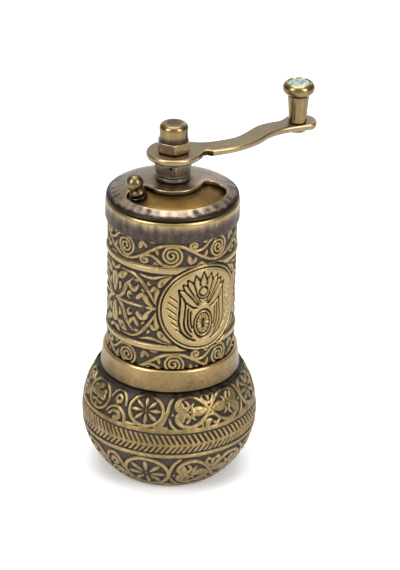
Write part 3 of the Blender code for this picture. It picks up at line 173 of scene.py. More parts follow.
def swelling(count, foot, middle, tip, peak=0.5):
    """Half widths that swell from the foot to the peak and taper to the tip."""
    widths = []
    for index in range(count):
        t = index / (count - 1)
        if t < peak:
            widths.append(foot + (middle - foot) * math.sin(0.5 * math.pi * t / peak))
        else:
            widths.append(tip + (middle - tip) * math.cos(0.5 * math.pi * (t - peak) / (1.0 - peak)))
    return widths


def placing(centre, across=1.0, up=1.0):
    """Moves points from about zero to about a centre, stretched or mirrored each way."""
    return lambda points: [(centre[0] + across * x, centre[1] + up * y) for x, y in points]


def raise_strokes(sheet, strokes, placed, height, fat=1.0, crown=0.2):
    """Leaves and stems. Each is its points, its half widths at the foot, widest place and tip, and
    how far along it is widest."""
    for points, foot, widest, tip, peak in strokes:
        path = placed(smooth_path(points, 5))
        widths = swelling(len(path), fat * foot, fat * widest, fat * tip, peak)
        raise_line(sheet, path, widths, height, crown=crown)


def rosette(sheet, centre, ring, squash, fat, height):
    """Eight slender petals and a pin in a ring."""
    raise_line(sheet, ring_path(centre, ring, squash=squash), 0.42 * fat, height)
    for petal in range(8):
        angle = math.radians(45.0 * petal)
        path = [(centre[0] + t * math.cos(angle), centre[1] + squash * t * math.sin(angle))
                for t in np.linspace(0.2 * ring, 0.88 * ring, 12)]
        raise_line(sheet, path, swelling(12, 0.08, 0.118 * ring, 0.06, 0.6), height, crown=0.4)
    raise_line(sheet, placing(centre, ring, ring)([(0.0, -0.07), (0.0, 0.07)]), 0.17, height)
    for way in (-1.0, 1.0):
        foot = placing(centre, way * ring, squash * ring)([(0.45, -0.98), (1.15, -1.08)])
        raise_line(sheet, foot, [0.2 * fat, 0.55 * fat], height)


# Two hearts that meet at their tips, as mm from the place where they cross: the right-hand half.
HEARTS = [
    ([(0.0, 0.1), (1.4, 1.7), (3.1, 3.3), (5.2, 4.2), (7.4, 4.0), (9.1, 2.8), (9.4, 1.2), (8.2, 0.25),
      (6.6, 0.7), (6.1, 2.0), (6.8, 2.9)], 0.42, 0.52, 0.36, 0.5),
    ([(6.7, 0.9), (7.9, 1.3), (8.0, 2.5)], 0.3, 0.75, 0.35, 0.6),
    ([(4.9, 0.2), (5.2, 1.4), (4.3, 2.4)], 0.25, 0.45, 0.12, 0.4),
    ([(0.1, 1.6), (1.0, 2.3), (1.9, 3.4), (1.5, 4.4), (0.7, 4.0)], 0.3, 0.42, 0.34, 0.5),
]
SPADES = [([(5.1, 0.0), (3.6, 0.0), (2.1, 0.0), (0.8, 0.0)], 0.25, 1.3, 0.08, 0.35)]
# The band beside the hearts, from its top down into the ring's foot, and the thin bar with a bead.
SIDE_BANDS = [
    ([(9.2, 5.0), (10.6, 3.7), (11.5, 1.9), (12.2, -0.6), (13.3, -3.0), (15.0, -4.9)], 0.35, 0.46, 0.6, 0.5),
    ([(11.5, -1.6), (10.9, -3.4), (9.5, -4.9)], 0.12, 0.34, 0.4, 0.6),
]
# A curl under the crossing.
ARCH = [
    ([(-2.6, -4.5), (-2.5, -3.1), (-1.4, -1.9), (0.2, -1.5), (1.7, -2.0), (2.4, -3.2), (1.7, -4.2),
      (0.8, -3.8)],
     0.3, 0.38, 0.4, 0.5),
    ([(-1.3, -4.5), (-1.0, -3.4), (0.1, -2.9)], 0.5, 0.8, 0.3, 0.4),
]


def hearts(sheet, centre, tall, fat, height):
    for way in (-1.0, 1.0):
        raise_strokes(sheet, HEARTS[:3], placing(centre, way, -tall), height, fat)
        placed = placing(centre, way, tall)
        raise_strokes(sheet, HEARTS, placed, height, fat)
        raise_strokes(sheet, SPADES + SIDE_BANDS, placed, height, fat, 0.3)
        raise_line(sheet, placed([(4.2, 0.0), (1.9, 0.0)]), 0.05, 0.35 * height, edge=0.2, carve=True)
        raise_disc(sheet, placed([(5.9, 0.0)])[0], 0.36 * fat, height)
        raise_disc(sheet, placed([(10.55, -0.6)])[0], 0.38, height)
    placed = placing(centre, 1.0, tall)
    raise_strokes(sheet, ARCH, placed, height, fat)
    raise_line(sheet, placed([(0.0, 1.9), (0.0, 3.6)]), [0.15, 0.75], height, crown=0.3)


# Three blobs of a trefoil in a pointed loop, and two curls beside it: the right-hand half.
TREFOIL = [
    ([(0.0, 4.0), (2.0, 3.7), (3.9, 2.2), (4.7, 0.2), (3.9, -2.2), (2.0, -3.6), (0.0, -3.9)], 0.36, 0.4, 0.4,
     0.5),
    ([(0.9, -0.2), (1.6, 0.0), (2.4, -0.3)], 0.7, 1.05, 0.8, 0.5),
    ([(0.7, -2.0), (1.6, -2.3), (2.3, -2.0)], 0.2, 0.42, 0.1, 0.5),
    ([(1.9, 1.6), (2.6, 1.4), (3.1, 0.8)], 0.2, 0.4, 0.1, 0.5),
]
CURLS = [
    ([(5.0, -3.0), (5.7, -1.7), (7.4, -0.8), (9.3, -1.1), (10.7, -2.6), (11.0, -4.2)], 0.2, 0.42, 0.45, 0.5),
    ([(6.0, -3.4), (7.1, -2.2), (8.8, -2.3), (9.2, -3.5), (8.0, -3.9)], 0.35, 0.55, 0.75, 0.8),
    ([(5.4, 1.3), (6.2, 3.0), (7.6, 4.0), (9.4, 3.6), (10.4, 2.1), (10.7, 0.3)], 0.2, 0.4, 0.3, 0.5),
    ([(7.0, 1.2), (7.8, 2.5), (9.0, 2.0), (8.8, 0.9), (7.9, 0.6)], 0.3, 0.45, 0.6, 0.8),
]


def trefoil_and_curls(sheet, centre, tall, fat, height):
    for way in (-1.0, 1.0):
        raise_strokes(sheet, TREFOIL + CURLS, placing(centre, way, tall), height, fat)
    raise_disc(sheet, (centre[0], centre[1] + 2.2 * tall), 0.8 * fat, height)
    raise_line(sheet, [(centre[0], centre[1] - 3.4 * tall), (centre[0], centre[1] + 0.5)], 0.22 * fat, height)


def weathered(sheet, repeats, amount, seed):
    """Repeats a carving round the piece, softens it a little and lets its tops vary, as wear does."""
    relief = np.tile(sheet.relief, (1, repeats))
    kernel = (0.2, 0.6, 0.2)
    padded = np.pad(relief, ((1, 1), (0, 0)), mode="edge")
    relief = kernel[0] * padded[:-2] + kernel[1] * padded[1:-1] + kernel[2] * padded[2:]
    relief = kernel[0] * np.roll(relief, 1, 1) + kernel[1] * relief + kernel[2] * np.roll(relief, -1, 1)
    chance = np.random.default_rng(seed)
    rows, columns = relief.shape
    rough = np.zeros_like(relief)
    row_place, column_place = np.arange(rows)[:, None], np.arange(columns)[None, :] * 2.0 * math.pi / columns
    for wave in range(24):
        turns = int(chance.integers(3, 90))
        climb = chance.uniform(-0.35, 0.35)
        rough += np.sin(turns * column_place + climb * row_place + chance.uniform(0.0, 6.28))
    return relief * (1.0 + amount * rough / 5.0)


def blurred(relief, reach):
    """The carving smoothed over that many cells each way; it runs on round the piece."""
    steps = np.arange(-3 * reach, 3 * reach + 1)
    weights = np.exp(-0.5 * (steps / reach) ** 2)
    weights /= weights.sum()
    padded = np.pad(relief, ((3 * reach, 3 * reach), (0, 0)), mode="edge")
    tall = sum(w * padded[index:index + relief.shape[0]] for index, w in enumerate(weights))
    return sum(w * np.roll(tall, shift, 1) for shift, w in zip(steps, weights))


# How much a place's height and its being an edge count towards its wear, how readily a hollow holds
# soot, and how many cells each way tell an edge from a hollow.
HEIGHT_SHARE = 0.84
EDGE_SHARE = 0.6
HOLLOW_GAIN = 2.3
NEIGHBOURS = 3
CARVING_EDGE = math.radians(75.0)


def pick(*pieces):
    """Deselects everything, then selects these pieces and makes the first one active."""
    bpy.ops.object.select_all(action='DESELECT')
    for piece in pieces:
        piece.select_set(True)
    if pieces:
        bpy.context.view_layer.objects.active = pieces[0]


def close_up(merge):
    """Merges doubles nearer than that many mm, turns the faces outwards and leaves edit mode."""
    bpy.ops.mesh.select_all(action='SELECT')
    bpy.ops.mesh.remove_doubles(threshold=merge * MM)
    bpy.ops.mesh.normals_make_consistent(inside=False)
    bpy.ops.object.mode_set(mode='OBJECT')


def relief_ring(name, radii, heights, relief, depth, start, inner_radii, painted_shade_height=0.0):
    """Rolls a flat grid into a closed ring that carries a carving, and keeps on it how far each place
    stands proud, most at the edges of the ridges, and how sheltered it is.

    radii and heights give each row's place on the outside, and inner_radii the wall's inside, in mm.
    The last argument gives how many mm of height below the top are darkened as painted shade, where the ring
    meets the part over it.
    """
    rows, columns = relief.shape
    lean = np.arctan2(-np.gradient(radii), np.gradient(heights))[:, None]
    pick()
    bpy.ops.mesh.primitive_grid_add(x_subdivisions=columns, y_subdivisions=rows + 3, size=2.0)
    piece = bpy.context.active_object
    piece.name = name
    around = start + 2.0 * math.pi * np.arange(columns + 1) / columns
    level = blurred(relief, NEIGHBOURS)
    shelter = np.clip(HOLLOW_GAIN * (level - relief) / depth, 0.0, 1.0)
    # Painted shade: a band along the ring's top, darkened as though shaded by the part over it.
    if painted_shade_height:
        shelter = np.maximum(shelter, soft_step(1.0 - (heights[-1] - heights) / painted_shade_height)[:, None])
    proud = (HEIGHT_SHARE * relief + EDGE_SHARE * np.clip(relief - level, 0.0, None)) / depth
    out, proud, shelter = (np.column_stack([grid, grid[:, :1]]) for grid in (relief, proud, shelter))
    r = radii[:, None] + (out - depth) * np.cos(lean)
    z = heights[:, None] + (out - depth) * np.sin(lean)
    inner_z = (heights[-1], 0.5 * (heights[0] + heights[-1]), heights[0])
    r = np.vstack([r] + [np.full((1, columns + 1), inner) for inner in inner_radii] + [r[:1]])
    z = np.vstack([z] + [np.full((1, columns + 1), inner) for inner in inner_z] + [z[:1]])
    plain = np.zeros((3, columns + 1))
    places = np.stack([r * np.cos(around), r * np.sin(around), z], axis=-1) * MM
    piece.data.vertices.foreach_set("co", places.reshape(-1))
    for label, grid, hidden in (("relief", proud, plain), ("shelter", shelter, plain + 1.0)):
        values = np.vstack([grid, hidden, grid[:1]]).reshape(-1)
        piece.data.attributes.new(label, 'FLOAT', 'POINT').data.foreach_set("value", values)
    bpy.ops.object.mode_set(mode='EDIT')
    close_up(0.002)
    bpy.ops.object.shade_smooth_by_angle(angle=CARVING_EDGE)
    return piece


def linear(hex_colour):
    """An sRGB hex colour as linear RGBA."""
    parts = [int(hex_colour[index:index + 2], 16) / 255.0 for index in (1, 3, 5)]
    return tuple(p / 12.92 if p <= 0.04045 else ((p + 0.055) / 1.055) ** 2.4 for p in parts) + (1.0,)


def connect(tree, node, links):
    for key, source in links.items():
        tree.links.new(source, node.inputs[key])


def add_node(tree, kind, settings=None, values=None, links=None):
    """One shader node, with its settings, its sockets' values and what feeds them."""
    node = tree.nodes.new("ShaderNode" + kind)
    for key, value in (settings or {}).items():
        setattr(node, key, value)
    for key, value in (values or {}).items():
        node.inputs[key].default_value = value
    connect(tree, node, links or {})
    return node


def set_ramp(node, stops):
    """Gives a colour ramp its stops, each a position and an sRGB hex colour."""
    ramp = node.color_ramp
    while len(ramp.elements) > 1:
        ramp.elements.remove(ramp.elements[-1])
    ramp.elements[0].position, ramp.elements[0].color = stops[0][0], linear(stops[0][1])
    for position, colour in stops[1:]:
        ramp.elements.new(position).color = linear(colour)


def blank_material(name):
    """A new material, its tree, its shader and the place on the piece that its patterns read."""
    material = bpy.data.materials.new(name)
    material.use_nodes = True
    tree = material.node_tree
    return material, tree, tree.nodes["Principled BSDF"], add_node(tree, "TexCoord").outputs["Object"]


def mottled(tree, level, place, layers):
    """Lets a level wander by noise, and gives it with the last layer's noise. A layer is how many mm
    its patches are across, how much it adds or takes in all, its detail and its roughness."""
    for size, share, detail, rough in layers:
        noise = add_node(tree, "TexNoise", {}, {"Scale": 1.0 / (size * MM), "Detail": detail,
                                                "Roughness": rough},
                         {"Vector": place}).outputs["Fac"]
        shift = add_node(tree, "Math", {"operation": 'MULTIPLY_ADD'}, {1: share, 2: -0.5 * share}, {0: noise})
        level = add_node(tree, "Math", {"operation": 'ADD'}, links={0: level, 1: shift.outputs[0]}).outputs[0]
    return level, noise


# Cast brass, blackened and then buffed: satin and fairly bright on what stands proud, grey-brown on
# the open ground and black where the buff can't reach; the same black is painted shade along the top
# of the shoulder frieze, under the collar. It has stains 9 mm across and the grain of casting sand,
# which is drawn 0.5 mm coarse so that it shows.
cast_brass, tree, shader, place = blank_material("antiqued_cast_brass")
carved = add_node(tree, "Attribute", {"attribute_name": "relief"})
sheltered = add_node(tree, "Attribute", {"attribute_name": "shelter"})
worn, grain = mottled(tree, carved.outputs["Fac"], place, [(9.0, 0.6, 4.0, 0.55), (0.5, 0.5, 3.0, 0.65)])
buffed = add_node(tree, "ValToRGB", links={"Fac": worn})
set_ramp(buffed, [(0.0, "#352d26"), (0.3, "#463b30"), (0.55, "#63533a"), (0.82, "#7c6a45"), (1.0, "#93805a")])
# Soot in the hollows, and painted shade along the shoulder frieze's top under the collar.
soot_and_shade = add_node(tree, "MapRange", {}, {"From Min": 0.25, "From Max": 0.85, "To Min": 0.0, "To Max": 0.96},
                {"Value": sheltered.outputs["Fac"]})
colour = add_node(tree, "Mix", {"data_type": 'RGBA'}, {7: linear("#1a120a")},
                  {0: soot_and_shade.outputs["Result"], 6: buffed.outputs["Color"]})
rough = add_node(tree, "MapRange", {}, {"From Min": 0.2, "From Max": 1.0, "To Min": 0.6, "To Max": 0.34},
                 {"Value": worn})
metal = add_node(tree, "MapRange", {}, {"From Min": 0.1, "From Max": 0.6, "To Min": 0.5, "To Max": 1.0},
                 {"Value": worn})
bump = add_node(tree, "Bump", {}, {"Strength": 0.5, "Distance": 0.08 * MM}, {"Height": grain})
connect(tree, shader, {"Base Color": colour.outputs[2], "Roughness": rough.outputs["Result"],
                       "Metallic": metal.outputs["Result"], "Normal": bump.outputs["Normal"]})


def paint(piece, material):
    piece.data.materials.clear()
    piece.data.materials.append(material)


def finish_piece(piece, material, body, node):
    """Paints a finished piece, ties it to its body and hides the solid that it stands for."""
    paint(piece, material)
    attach(piece, body)
    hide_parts(node)


BOWL_COLUMNS = 800
LOWER_FRIEZE_TOP = 13.6
FRIEZE_START = math.radians(-106.0)
LOWER_MIDDLE_RADIUS = 21.9


def bowl_ring(name, z_low, z_high, sheet, relief, start, top_radius=None, painted_shade_height=0.0):
    """A ring of the bowl with its carving, 1 mm thick."""
    z_rows, r_rows, arc = bowl_outline(z_low, z_high, sheet.rows)
    inner_z = (z_high, 0.5 * (z_low + z_high), z_low)
    inner = [float(bowl_radius(z, SHELL_WALL)) for z in inner_z]
    inner[0] = top_radius or inner[0]
    piece = relief_ring(name, r_rows, z_rows, relief, CARVED_DEPTH, start, inner, painted_shade_height)
    finish_piece(piece, cast_brass, "chamber", "chamber_bowl")


rows = 96
arc = bowl_outline(0.0, LOWER_FRIEZE_TOP, rows)[2]
sheet = Sheet(math.pi * LOWER_MIDDLE_RADIUS, arc, BOWL_COLUMNS // 2, rows)
raise_band(sheet, -1.0, 2.0, CARVED_DEPTH)
raise_band(sheet, arc - 0.5, arc + 1.0, CARVED_DEPTH)
for x in (0.0, 0.5 * sheet.width):
    rosette(sheet, (x, 8.6), 6.3, 1.0, 1.35, CARVED_DEPTH)
hearts(sheet, (18.4, 8.9), 1.22, 1.2, CARVED_DEPTH)
trefoil_and_curls(sheet, (-17.6, 8.9), 1.3, 1.25, CARVED_DEPTH)
relief = weathered(sheet, 2, 0.06, 3)
bowl_ring("bowl_lower_frieze", 0.0, LOWER_FRIEZE_TOP, sheet, relief, FRIEZE_START)

# Bowl, girdle. Two rows of slanting cuts that meet like herringbone round the bowl's widest part,
# filed between plain raised lines after casting.

GIRDLE_COLUMNS = 1300
GIRDLE_TOP = 20.9
CUT_COUNT = 100
rows = 52
arc = bowl_outline(LOWER_FRIEZE_TOP, GIRDLE_TOP, rows)[2]
step = 2.0 * math.pi * BOWL_RADIUS / CUT_COUNT
sheet = Sheet(10.0 * step, arc, GIRDLE_COLUMNS // 10, rows)
raise_band(sheet, -1.0, 0.75, CARVED_DEPTH)
raise_band(sheet, 14.85 - LOWER_FRIEZE_TOP, 20.35 - LOWER_FRIEZE_TOP, 0.9 * CARVED_DEPTH)
for cut in range(10):
    x = cut * step
    raise_line(sheet, [(x, 20.9 - LOWER_FRIEZE_TOP), (x + 1.75, 17.75 - LOWER_FRIEZE_TOP)], [0.34, 0.2],
               0.8 * CARVED_DEPTH, edge=0.3, carve=True)
    raise_line(sheet, [(x + 1.7, 16.75 - LOWER_FRIEZE_TOP), (x, 14.6 - LOWER_FRIEZE_TOP)], [0.16, 0.26],
               0.7 * CARVED_DEPTH, edge=0.28, carve=True)
relief = weathered(sheet, 10, 0.07, 5)
bowl_ring("bowl_girdle", LOWER_FRIEZE_TOP, GIRDLE_TOP, sheet, relief, 0.0)

# Bowl, shoulder frieze. The same rosettes, hearts and trefoils, smaller, under the bowl's neck.

SHOULDER_START = math.radians(-106.5)
SHOULDER_MIDDLE_RADIUS = 22.0
LINING_TOP_RADIUS = 17.95
# How many mm below its top the shoulder frieze is darkened as painted shade, under the collar.
SHOULDER_PAINTED_SHADE_HEIGHT = 1.8
rows = 64
arc = bowl_outline(GIRDLE_TOP, SHOULDER, rows)[2]
sheet = Sheet(math.pi * SHOULDER_MIDDLE_RADIUS, arc, BOWL_COLUMNS // 2, rows)
raise_band(sheet, -1.0, 1.15, CARVED_DEPTH)
for x in (0.0, 0.5 * sheet.width):
    rosette(sheet, (x, 5.9), 4.8, 0.9, 1.2, CARVED_DEPTH)
hearts(sheet, (17.9, 5.7), 1.0, 1.15, CARVED_DEPTH)
trefoil_and_curls(sheet, (-16.8, 5.7), 1.0, 1.2, CARVED_DEPTH)
relief = weathered(sheet, 2, 0.06, 7)
bowl_ring("bowl_shoulder_frieze", GIRDLE_TOP, SHOULDER, sheet, relief, SHOULDER_START, LINING_TOP_RADIUS,
          SHOULDER_PAINTED_SHADE_HEIGHT)

# Bowl, collar and lining. The plain turned neck that the barrel slides into, and the smooth inside
# that holds the ground spice, both part of the same casting.

COLLAR_RADIUS = 18.4
COLLAR_FOOT_RADIUS = 19.0
COLLAR_TOP = 37.0
COLLAR_BORE = 16.6
BOWL_WALL = 1.7
BOWL_FLOOR = 2.0
LINING_GAP = 0.05
TURNED_EDGE = math.radians(35.0)


def bevelled(piece, width, segments, degrees):
    """Rounds the edges of the active piece that are sharper than that many degrees, by width in mm."""
    step = piece.modifiers.new("rounded_edges", 'BEVEL')
    step.width = width * MM
    step.segments = segments
    step.limit_method = 'ANGLE'
    step.angle_limit = math.radians(degrees)
    bpy.ops.object.modifier_apply(modifier=step.name)


def lifted(height, outline):
    """An outline of (radius, height) whose heights are counted from the given one."""
    return [(radius, height + rise) for radius, rise in outline]


def drawn(name, places, fill='NOTHING'):
    """A closed outline through places in mm, as a new piece."""
    pick()
    bpy.ops.mesh.primitive_circle_add(vertices=len(places), radius=1.0, fill_type=fill)
    piece = bpy.context.active_object
    piece.name = name
    for vertex, place in zip(piece.data.vertices, places):
        vertex.co = [part * MM for part in place]
    return piece


def turned(name, outline, steps=160, soft=0.0, segments=3):
    """Spins a closed outline of (radius, height) in mm about the mill's axis, with rounded corners."""
    piece = drawn(name, [(radius, 0.0, height) for radius, height in outline])
    bpy.ops.object.mode_set(mode='EDIT')
    bpy.ops.mesh.select_all(action='SELECT')
    bpy.ops.mesh.spin(steps=steps, angle=2.0 * math.pi, center=(0.0, 0.0, 0.0), axis=(0.0, 0.0, 1.0))
    close_up(0.001)
    if soft:
        bevelled(piece, soft, segments, 25.0)
    bpy.ops.object.shade_smooth_by_angle(angle=TURNED_EDGE)
    return piece


def lining_outline(z_values, wall):
    return [(float(bowl_radius(z, wall)), z) for z in z_values]


outline = [(0.0, 0.15), (BASE_RADIUS - 1.1, 0.15)]
outline += lining_outline(np.linspace(1.0, 30.0, 16), SHELL_WALL - LINING_GAP)
outline += lifted(SHOULDER, [(SHOULDER_RADIUS - 1.2, -0.3), (17.85, -0.1), (17.85, 0.35),
                             (COLLAR_FOOT_RADIUS - 0.2, 0.4), (COLLAR_FOOT_RADIUS, 0.65)])
outline += lifted(COLLAR_TOP, [(COLLAR_RADIUS, -0.4), (COLLAR_RADIUS - 0.35, 0.0), (COLLAR_BORE + 0.3, 0.0),
                               (COLLAR_BORE, -0.3)])
outline += [(COLLAR_BORE, SHOULDER - 1.0)]
outline += lining_outline(np.linspace(27.0, BOWL_FLOOR + 1.5, 14), BOWL_WALL)
outline += [(BASE_RADIUS - 1.5, BOWL_FLOOR + 0.1), (0.0, BOWL_FLOOR)]
collar = turned("bowl_collar_and_lining", outline, soft=0.12)

MARK_LENGTH = 8.0


def wiped_metal(name, colours, rough, stain=(7.0, 0.5), speck=(0.8, 0.3), lines=(1.0, 1.0, 30.0), depth=0.02):
    """A metal that was darkened and wiped. Its five colours run from the darkest places to the most
    worn, with its roughness, by the wear and painted shade kept on the piece and by stains and specks,
    each given as mm across and how much they add or take. Its tool marks run across the way that lines
    presses them together, and are depth mm deep."""
    material, tree, shader, place = blank_material(name)
    wear_and_shade = add_node(tree, "Attribute", {"attribute_name": "wear_and_shade"})
    level = add_node(tree, "Math", {"operation": 'MULTIPLY_ADD'}, {1: 0.5, 2: 0.5}, {0: wear_and_shade.outputs["Fac"]})
    level = mottled(tree, level.outputs[0], place, [stain + (5.0, 0.6), speck + (2.0, 0.7)])[0]
    pressed = add_node(tree, "Mapping", {}, {"Scale": lines}, {"Vector": place})
    marks = add_node(tree, "TexNoise", {}, {"Scale": 1.0 / (MARK_LENGTH * MM), "Detail": 2.0},
                     {"Vector": pressed.outputs["Vector"]})
    colour = add_node(tree, "ValToRGB", links={"Fac": level})
    set_ramp(colour, [(0.25 * index, shade) for index, shade in enumerate(colours)])
    sheen = add_node(tree, "MapRange", {}, {"From Min": 0.2, "From Max": 0.8, "To Min": rough[0],
                                            "To Max": rough[1]},
                     {"Value": level})
    bump = add_node(tree, "Bump", {}, {"Strength": 0.25, "Distance": depth * MM},
                    {"Height": marks.outputs["Fac"]})
    connect(tree, shader, {"Base Color": colour.outputs["Color"], "Roughness": sheen.outputs["Result"],
                           "Normal": bump.outputs["Normal"]})
    shader.inputs["Metallic"].default_value = 1.0
    return material


def mark_wear_and_shade(piece, rule, domain='POINT'):
    """Keeps on a piece how worn each place is, from -1, dark, to 1, bright, by a rule on x, y and z in
    mm and on how far its surface faces up. The dark end also carries painted shade where a rule puts it."""
    items = piece.data.vertices if domain == 'POINT' else piece.data.polygons
    places = np.zeros(3 * len(items))
    facing = np.zeros(3 * len(items))
    items.foreach_get("co" if domain == 'POINT' else "center", places)
    items.foreach_get("normal", facing)
    x, y, z = (places.reshape(-1, 3) / MM).T
    wear_and_shade = np.asarray(rule(x, y, z, facing[2::3]), dtype=float)
    piece.data.attributes.new("wear_and_shade", 'FLOAT', domain).data.foreach_set("value", wear_and_shade)


# How worn the inside of the mill is, where no hand or cloth reaches.
UNSEEN_WEAR = -0.8


def collar_wear_and_shade(x, y, z, up):
    # Rubbed bright along the top edge; the foot, where the collar meets the shoulder, is darkened as painted
    # shade.
    wear_and_shade = 0.8 * soft_step((z - COLLAR_TOP + 0.6) / 0.4) - 0.6 * soft_step((SHOULDER + 1.1 - z) / 0.5)
    return np.where(np.hypot(x, y) < 17.5, UNSEEN_WEAR, wear_and_shade)


mark_wear_and_shade(collar, collar_wear_and_shade)
# Turned brass, lightly blackened and wiped: warm satin with darker stains 7 mm across and fine
# turning lines round it, rubbed bright along the collar's top and darkened at its foot as painted shade.
satin_brass = wiped_metal("antiqued_turned_brass", ["#33291c", "#5f5036", "#8a7450", "#a0865b", "#bfa26e"],
                          (0.46, 0.28))
finish_piece(collar, satin_brass, "chamber", "chamber_bowl")

# Barrel, lower frieze. A running vine with spirals round the barrel's foot, cast with the barrel
# and blackened and buffed like the bowl.

BARREL_GROUND = 16.95
BARREL_TOP = 0.5
BARREL_INSIDE = 16.05
BARREL_COLUMNS = 640
BARREL_FOOT = 37.3
FIELD_FOOT = 42.5
FIELD_TOP = 67.4
FRIEZE_TOP = 74.7
BARREL_MIDDLE_RADIUS = 17.35
VINE_REPEAT = QUARTER * BARREL_MIDDLE_RADIUS
LOWER_VINE_START = -87.0


def coil(centre, first_radius, turns, pitch, start):
    """A spiral that winds inwards anticlockwise from a start angle in degrees."""
    return [round_of(centre, max(first_radius - pitch * step / 16.0, 0.15), start + 360.0 * step / 16.0)
            for step in range(int(16 * turns) + 1)]


def running_vine(sheet, foot, height):
    """A wave with a coil under each crest and over each trough, and small leaves in the corners."""
    half = 0.5 * sheet.width
    wave = [(x, foot + 3.85 + 2.85 * math.cos(2.0 * math.pi * x / sheet.width))
            for x in np.linspace(-half, half, 61)]
    raise_line(sheet, wave, 0.46, height)
    raise_line(sheet, wave, 0.03, 0.3 * height, edge=0.2, carve=True)
    branch = smooth_path([(-8.7, 2.3), (-7.2, 3.15), (-5.6, 3.2), (-4.2, 2.4), (-3.0, 1.2), (-1.6, 0.5)],
                         4)[:-1]
    branch += coil((0.0, 3.55), 3.15, 2.55, 1.08, 245.0)
    leaves = [([(-7.9, 6.9), (-7.3, 6.1), (-6.9, 5.2)], 0.55),
              ([(-4.6, 5.6), (-4.0, 4.6), (-3.7, 3.5)], 0.55), ([(4.7, 3.2), (5.0, 2.0), (5.4, 0.8)], 0.8),
              ([(-5.0, 0.5), (-4.4, 1.1), (-3.5, 0.5)], 0.4), ([(7.0, 0.5), (8.5, 0.8), (9.7, 0.4)], 0.4)]
    curl = smooth_path([(-8.3, 2.5), (-8.6, 1.5), (-7.7, 0.8), (-6.7, 1.3), (-6.9, 2.2), (-7.6, 1.9)], 4)
    for placed in (placing((0.0, foot)), placing((half, foot + 7.9), up=-1.0)):
        raise_line(sheet, placed(branch), swelling(len(branch), 0.42, 0.39, 0.36), height)
        raise_line(sheet, placed(curl), swelling(len(curl), 0.34, 0.38, 0.5), height)
        for points, widest in leaves:
            path = smooth_path(points, 4)
            raise_line(sheet, placed(path), swelling(len(path), 0.12, widest, 0.1), 0.9 * height, crown=0.3)


rows = 34
sheet = Sheet(VINE_REPEAT, FIELD_FOOT - BARREL_FOOT, BARREL_COLUMNS // 4, rows)
running_vine(sheet, -2.35, BARREL_TOP)
raise_band(sheet, sheet.height - 0.2, sheet.height + 1.0, BARREL_TOP)
relief = weathered(sheet, 4, 0.05, 11)


def barrel_ring(name, foot, top, sheet, relief, start_degrees):
    """A ring of the barrel with its carving, whose ground lies at one radius."""
    radii = np.full(sheet.rows, BARREL_GROUND + BARREL_TOP)
    heights = np.linspace(foot, top, sheet.rows)
    piece = relief_ring(name, radii, heights, relief, BARREL_TOP, math.radians(start_degrees),
                        [BARREL_INSIDE] * 3)
    finish_piece(piece, cast_brass, "barrel", "barrel")


barrel_ring("barrel_lower_frieze", BARREL_FOOT, FIELD_FOOT, sheet, relief, LOWER_VINE_START)

# Barrel, main field. Scrolling leaves between two plain rings, with a round medallion on two sides
# that stands over the rings. The medallion's lotus is a plain traditional figure.

MEDALLION_RADIUS = 12.5
RING_TOP = 0.75
MEDALLION_TOP = 0.68
MEDALLION_TURN = -60.0
FIELD_MIDDLE = 12.45
SCROLL_SIDE = 12.72
rows = 148
sheet = Sheet(math.pi * BARREL_MIDDLE_RADIUS, FIELD_TOP - FIELD_FOOT, BARREL_COLUMNS // 2, rows)
# Path from the medallion's side, widths at its foot, widest place and tip, and how far along that is.
scrolls = [
    ([(0.1, 1.0), (1.4, 3.0), (2.3, 4.5), (3.5, 6.2), (5.0, 7.9), (6.3, 8.8), (7.8, 9.35), (9.6, 9.4),
      (11.4, 9.5)],
     0.22, 0.52, 0.25, 0.36),
    ([(7.0, 8.1), (8.4, 6.6), (9.6, 5.2), (10.2, 3.7), (11.0, 2.0), (12.3, 0.8), (14.1, 0.1)], 0.12, 0.68,
     0.2, 0.5),
    ([(8.7, 6.3), (8.0, 5.1), (7.1, 4.5), (6.2, 5.1), (5.6, 6.0)], 0.35, 0.8, 0.2, 0.5),
    ([(5.9, 2.3), (4.9, 3.1), (3.6, 2.9), (2.8, 1.6), (1.4, 0.4)], 0.55, 0.95, 0.15, 0.35),
    ([(13.8, 0.0), (9.3, 0.0), (3.8, 0.0)], 0.1, 0.55, 0.06, 0.4),
    ([(3.5, 0.0), (1.8, 0.0), (-0.3, 0.0)], 0.06, 0.4, 0.32, 0.5),
    ([(1.7, 5.3), (0.8, 5.7), (0.1, 4.6), (0.35, 3.2), (-0.1, 1.5)], 0.45, 0.95, 0.12, 0.3),
    ([(-0.5, 7.0), (-1.2, 8.0), (-2.4, 8.8), (-3.8, 9.9)], 0.6, 0.95, 0.12, 0.3),
    ([(5.3, 9.6), (3.0, 9.1), (0.9, 9.1), (-1.3, 9.8), (-3.8, 10.3)], 0.1, 0.42, 0.1, 0.45),
    ([(9.5, 8.5), (10.7, 7.9), (11.7, 7.1), (12.9, 6.5)], 0.3, 1.05, 0.35, 0.5),
    ([(12.3, 9.9), (13.2, 9.0), (14.53, 8.3)], 0.2, 0.6, 0.3, 0.5),
    ([(14.53, 7.2), (14.53, 5.0), (14.53, 1.6)], 0.25, 1.5, 0.25, 0.4),
    ([(12.4, 4.9), (12.0, 3.9), (12.5, 2.6)], 0.15, 0.55, 0.12, 0.4),
    ([(7.8, 2.9), (8.6, 3.3), (9.0, 2.2), (8.2, 1.2)], 0.3, 0.5, 0.12, 0.4),
    ([(6.9, 7.3), (6.1, 7.6), (5.6, 7.2)], 0.15, 0.4, 0.12, 0.5),
    ([(2.5, 7.7), (2.6, 7.1), (1.9, 6.9)], 0.2, 0.45, 0.15, 0.5),
    ([(3.9, 4.6), (4.5, 5.1)], 0.3, 0.36, 0.25, 0.5),
]
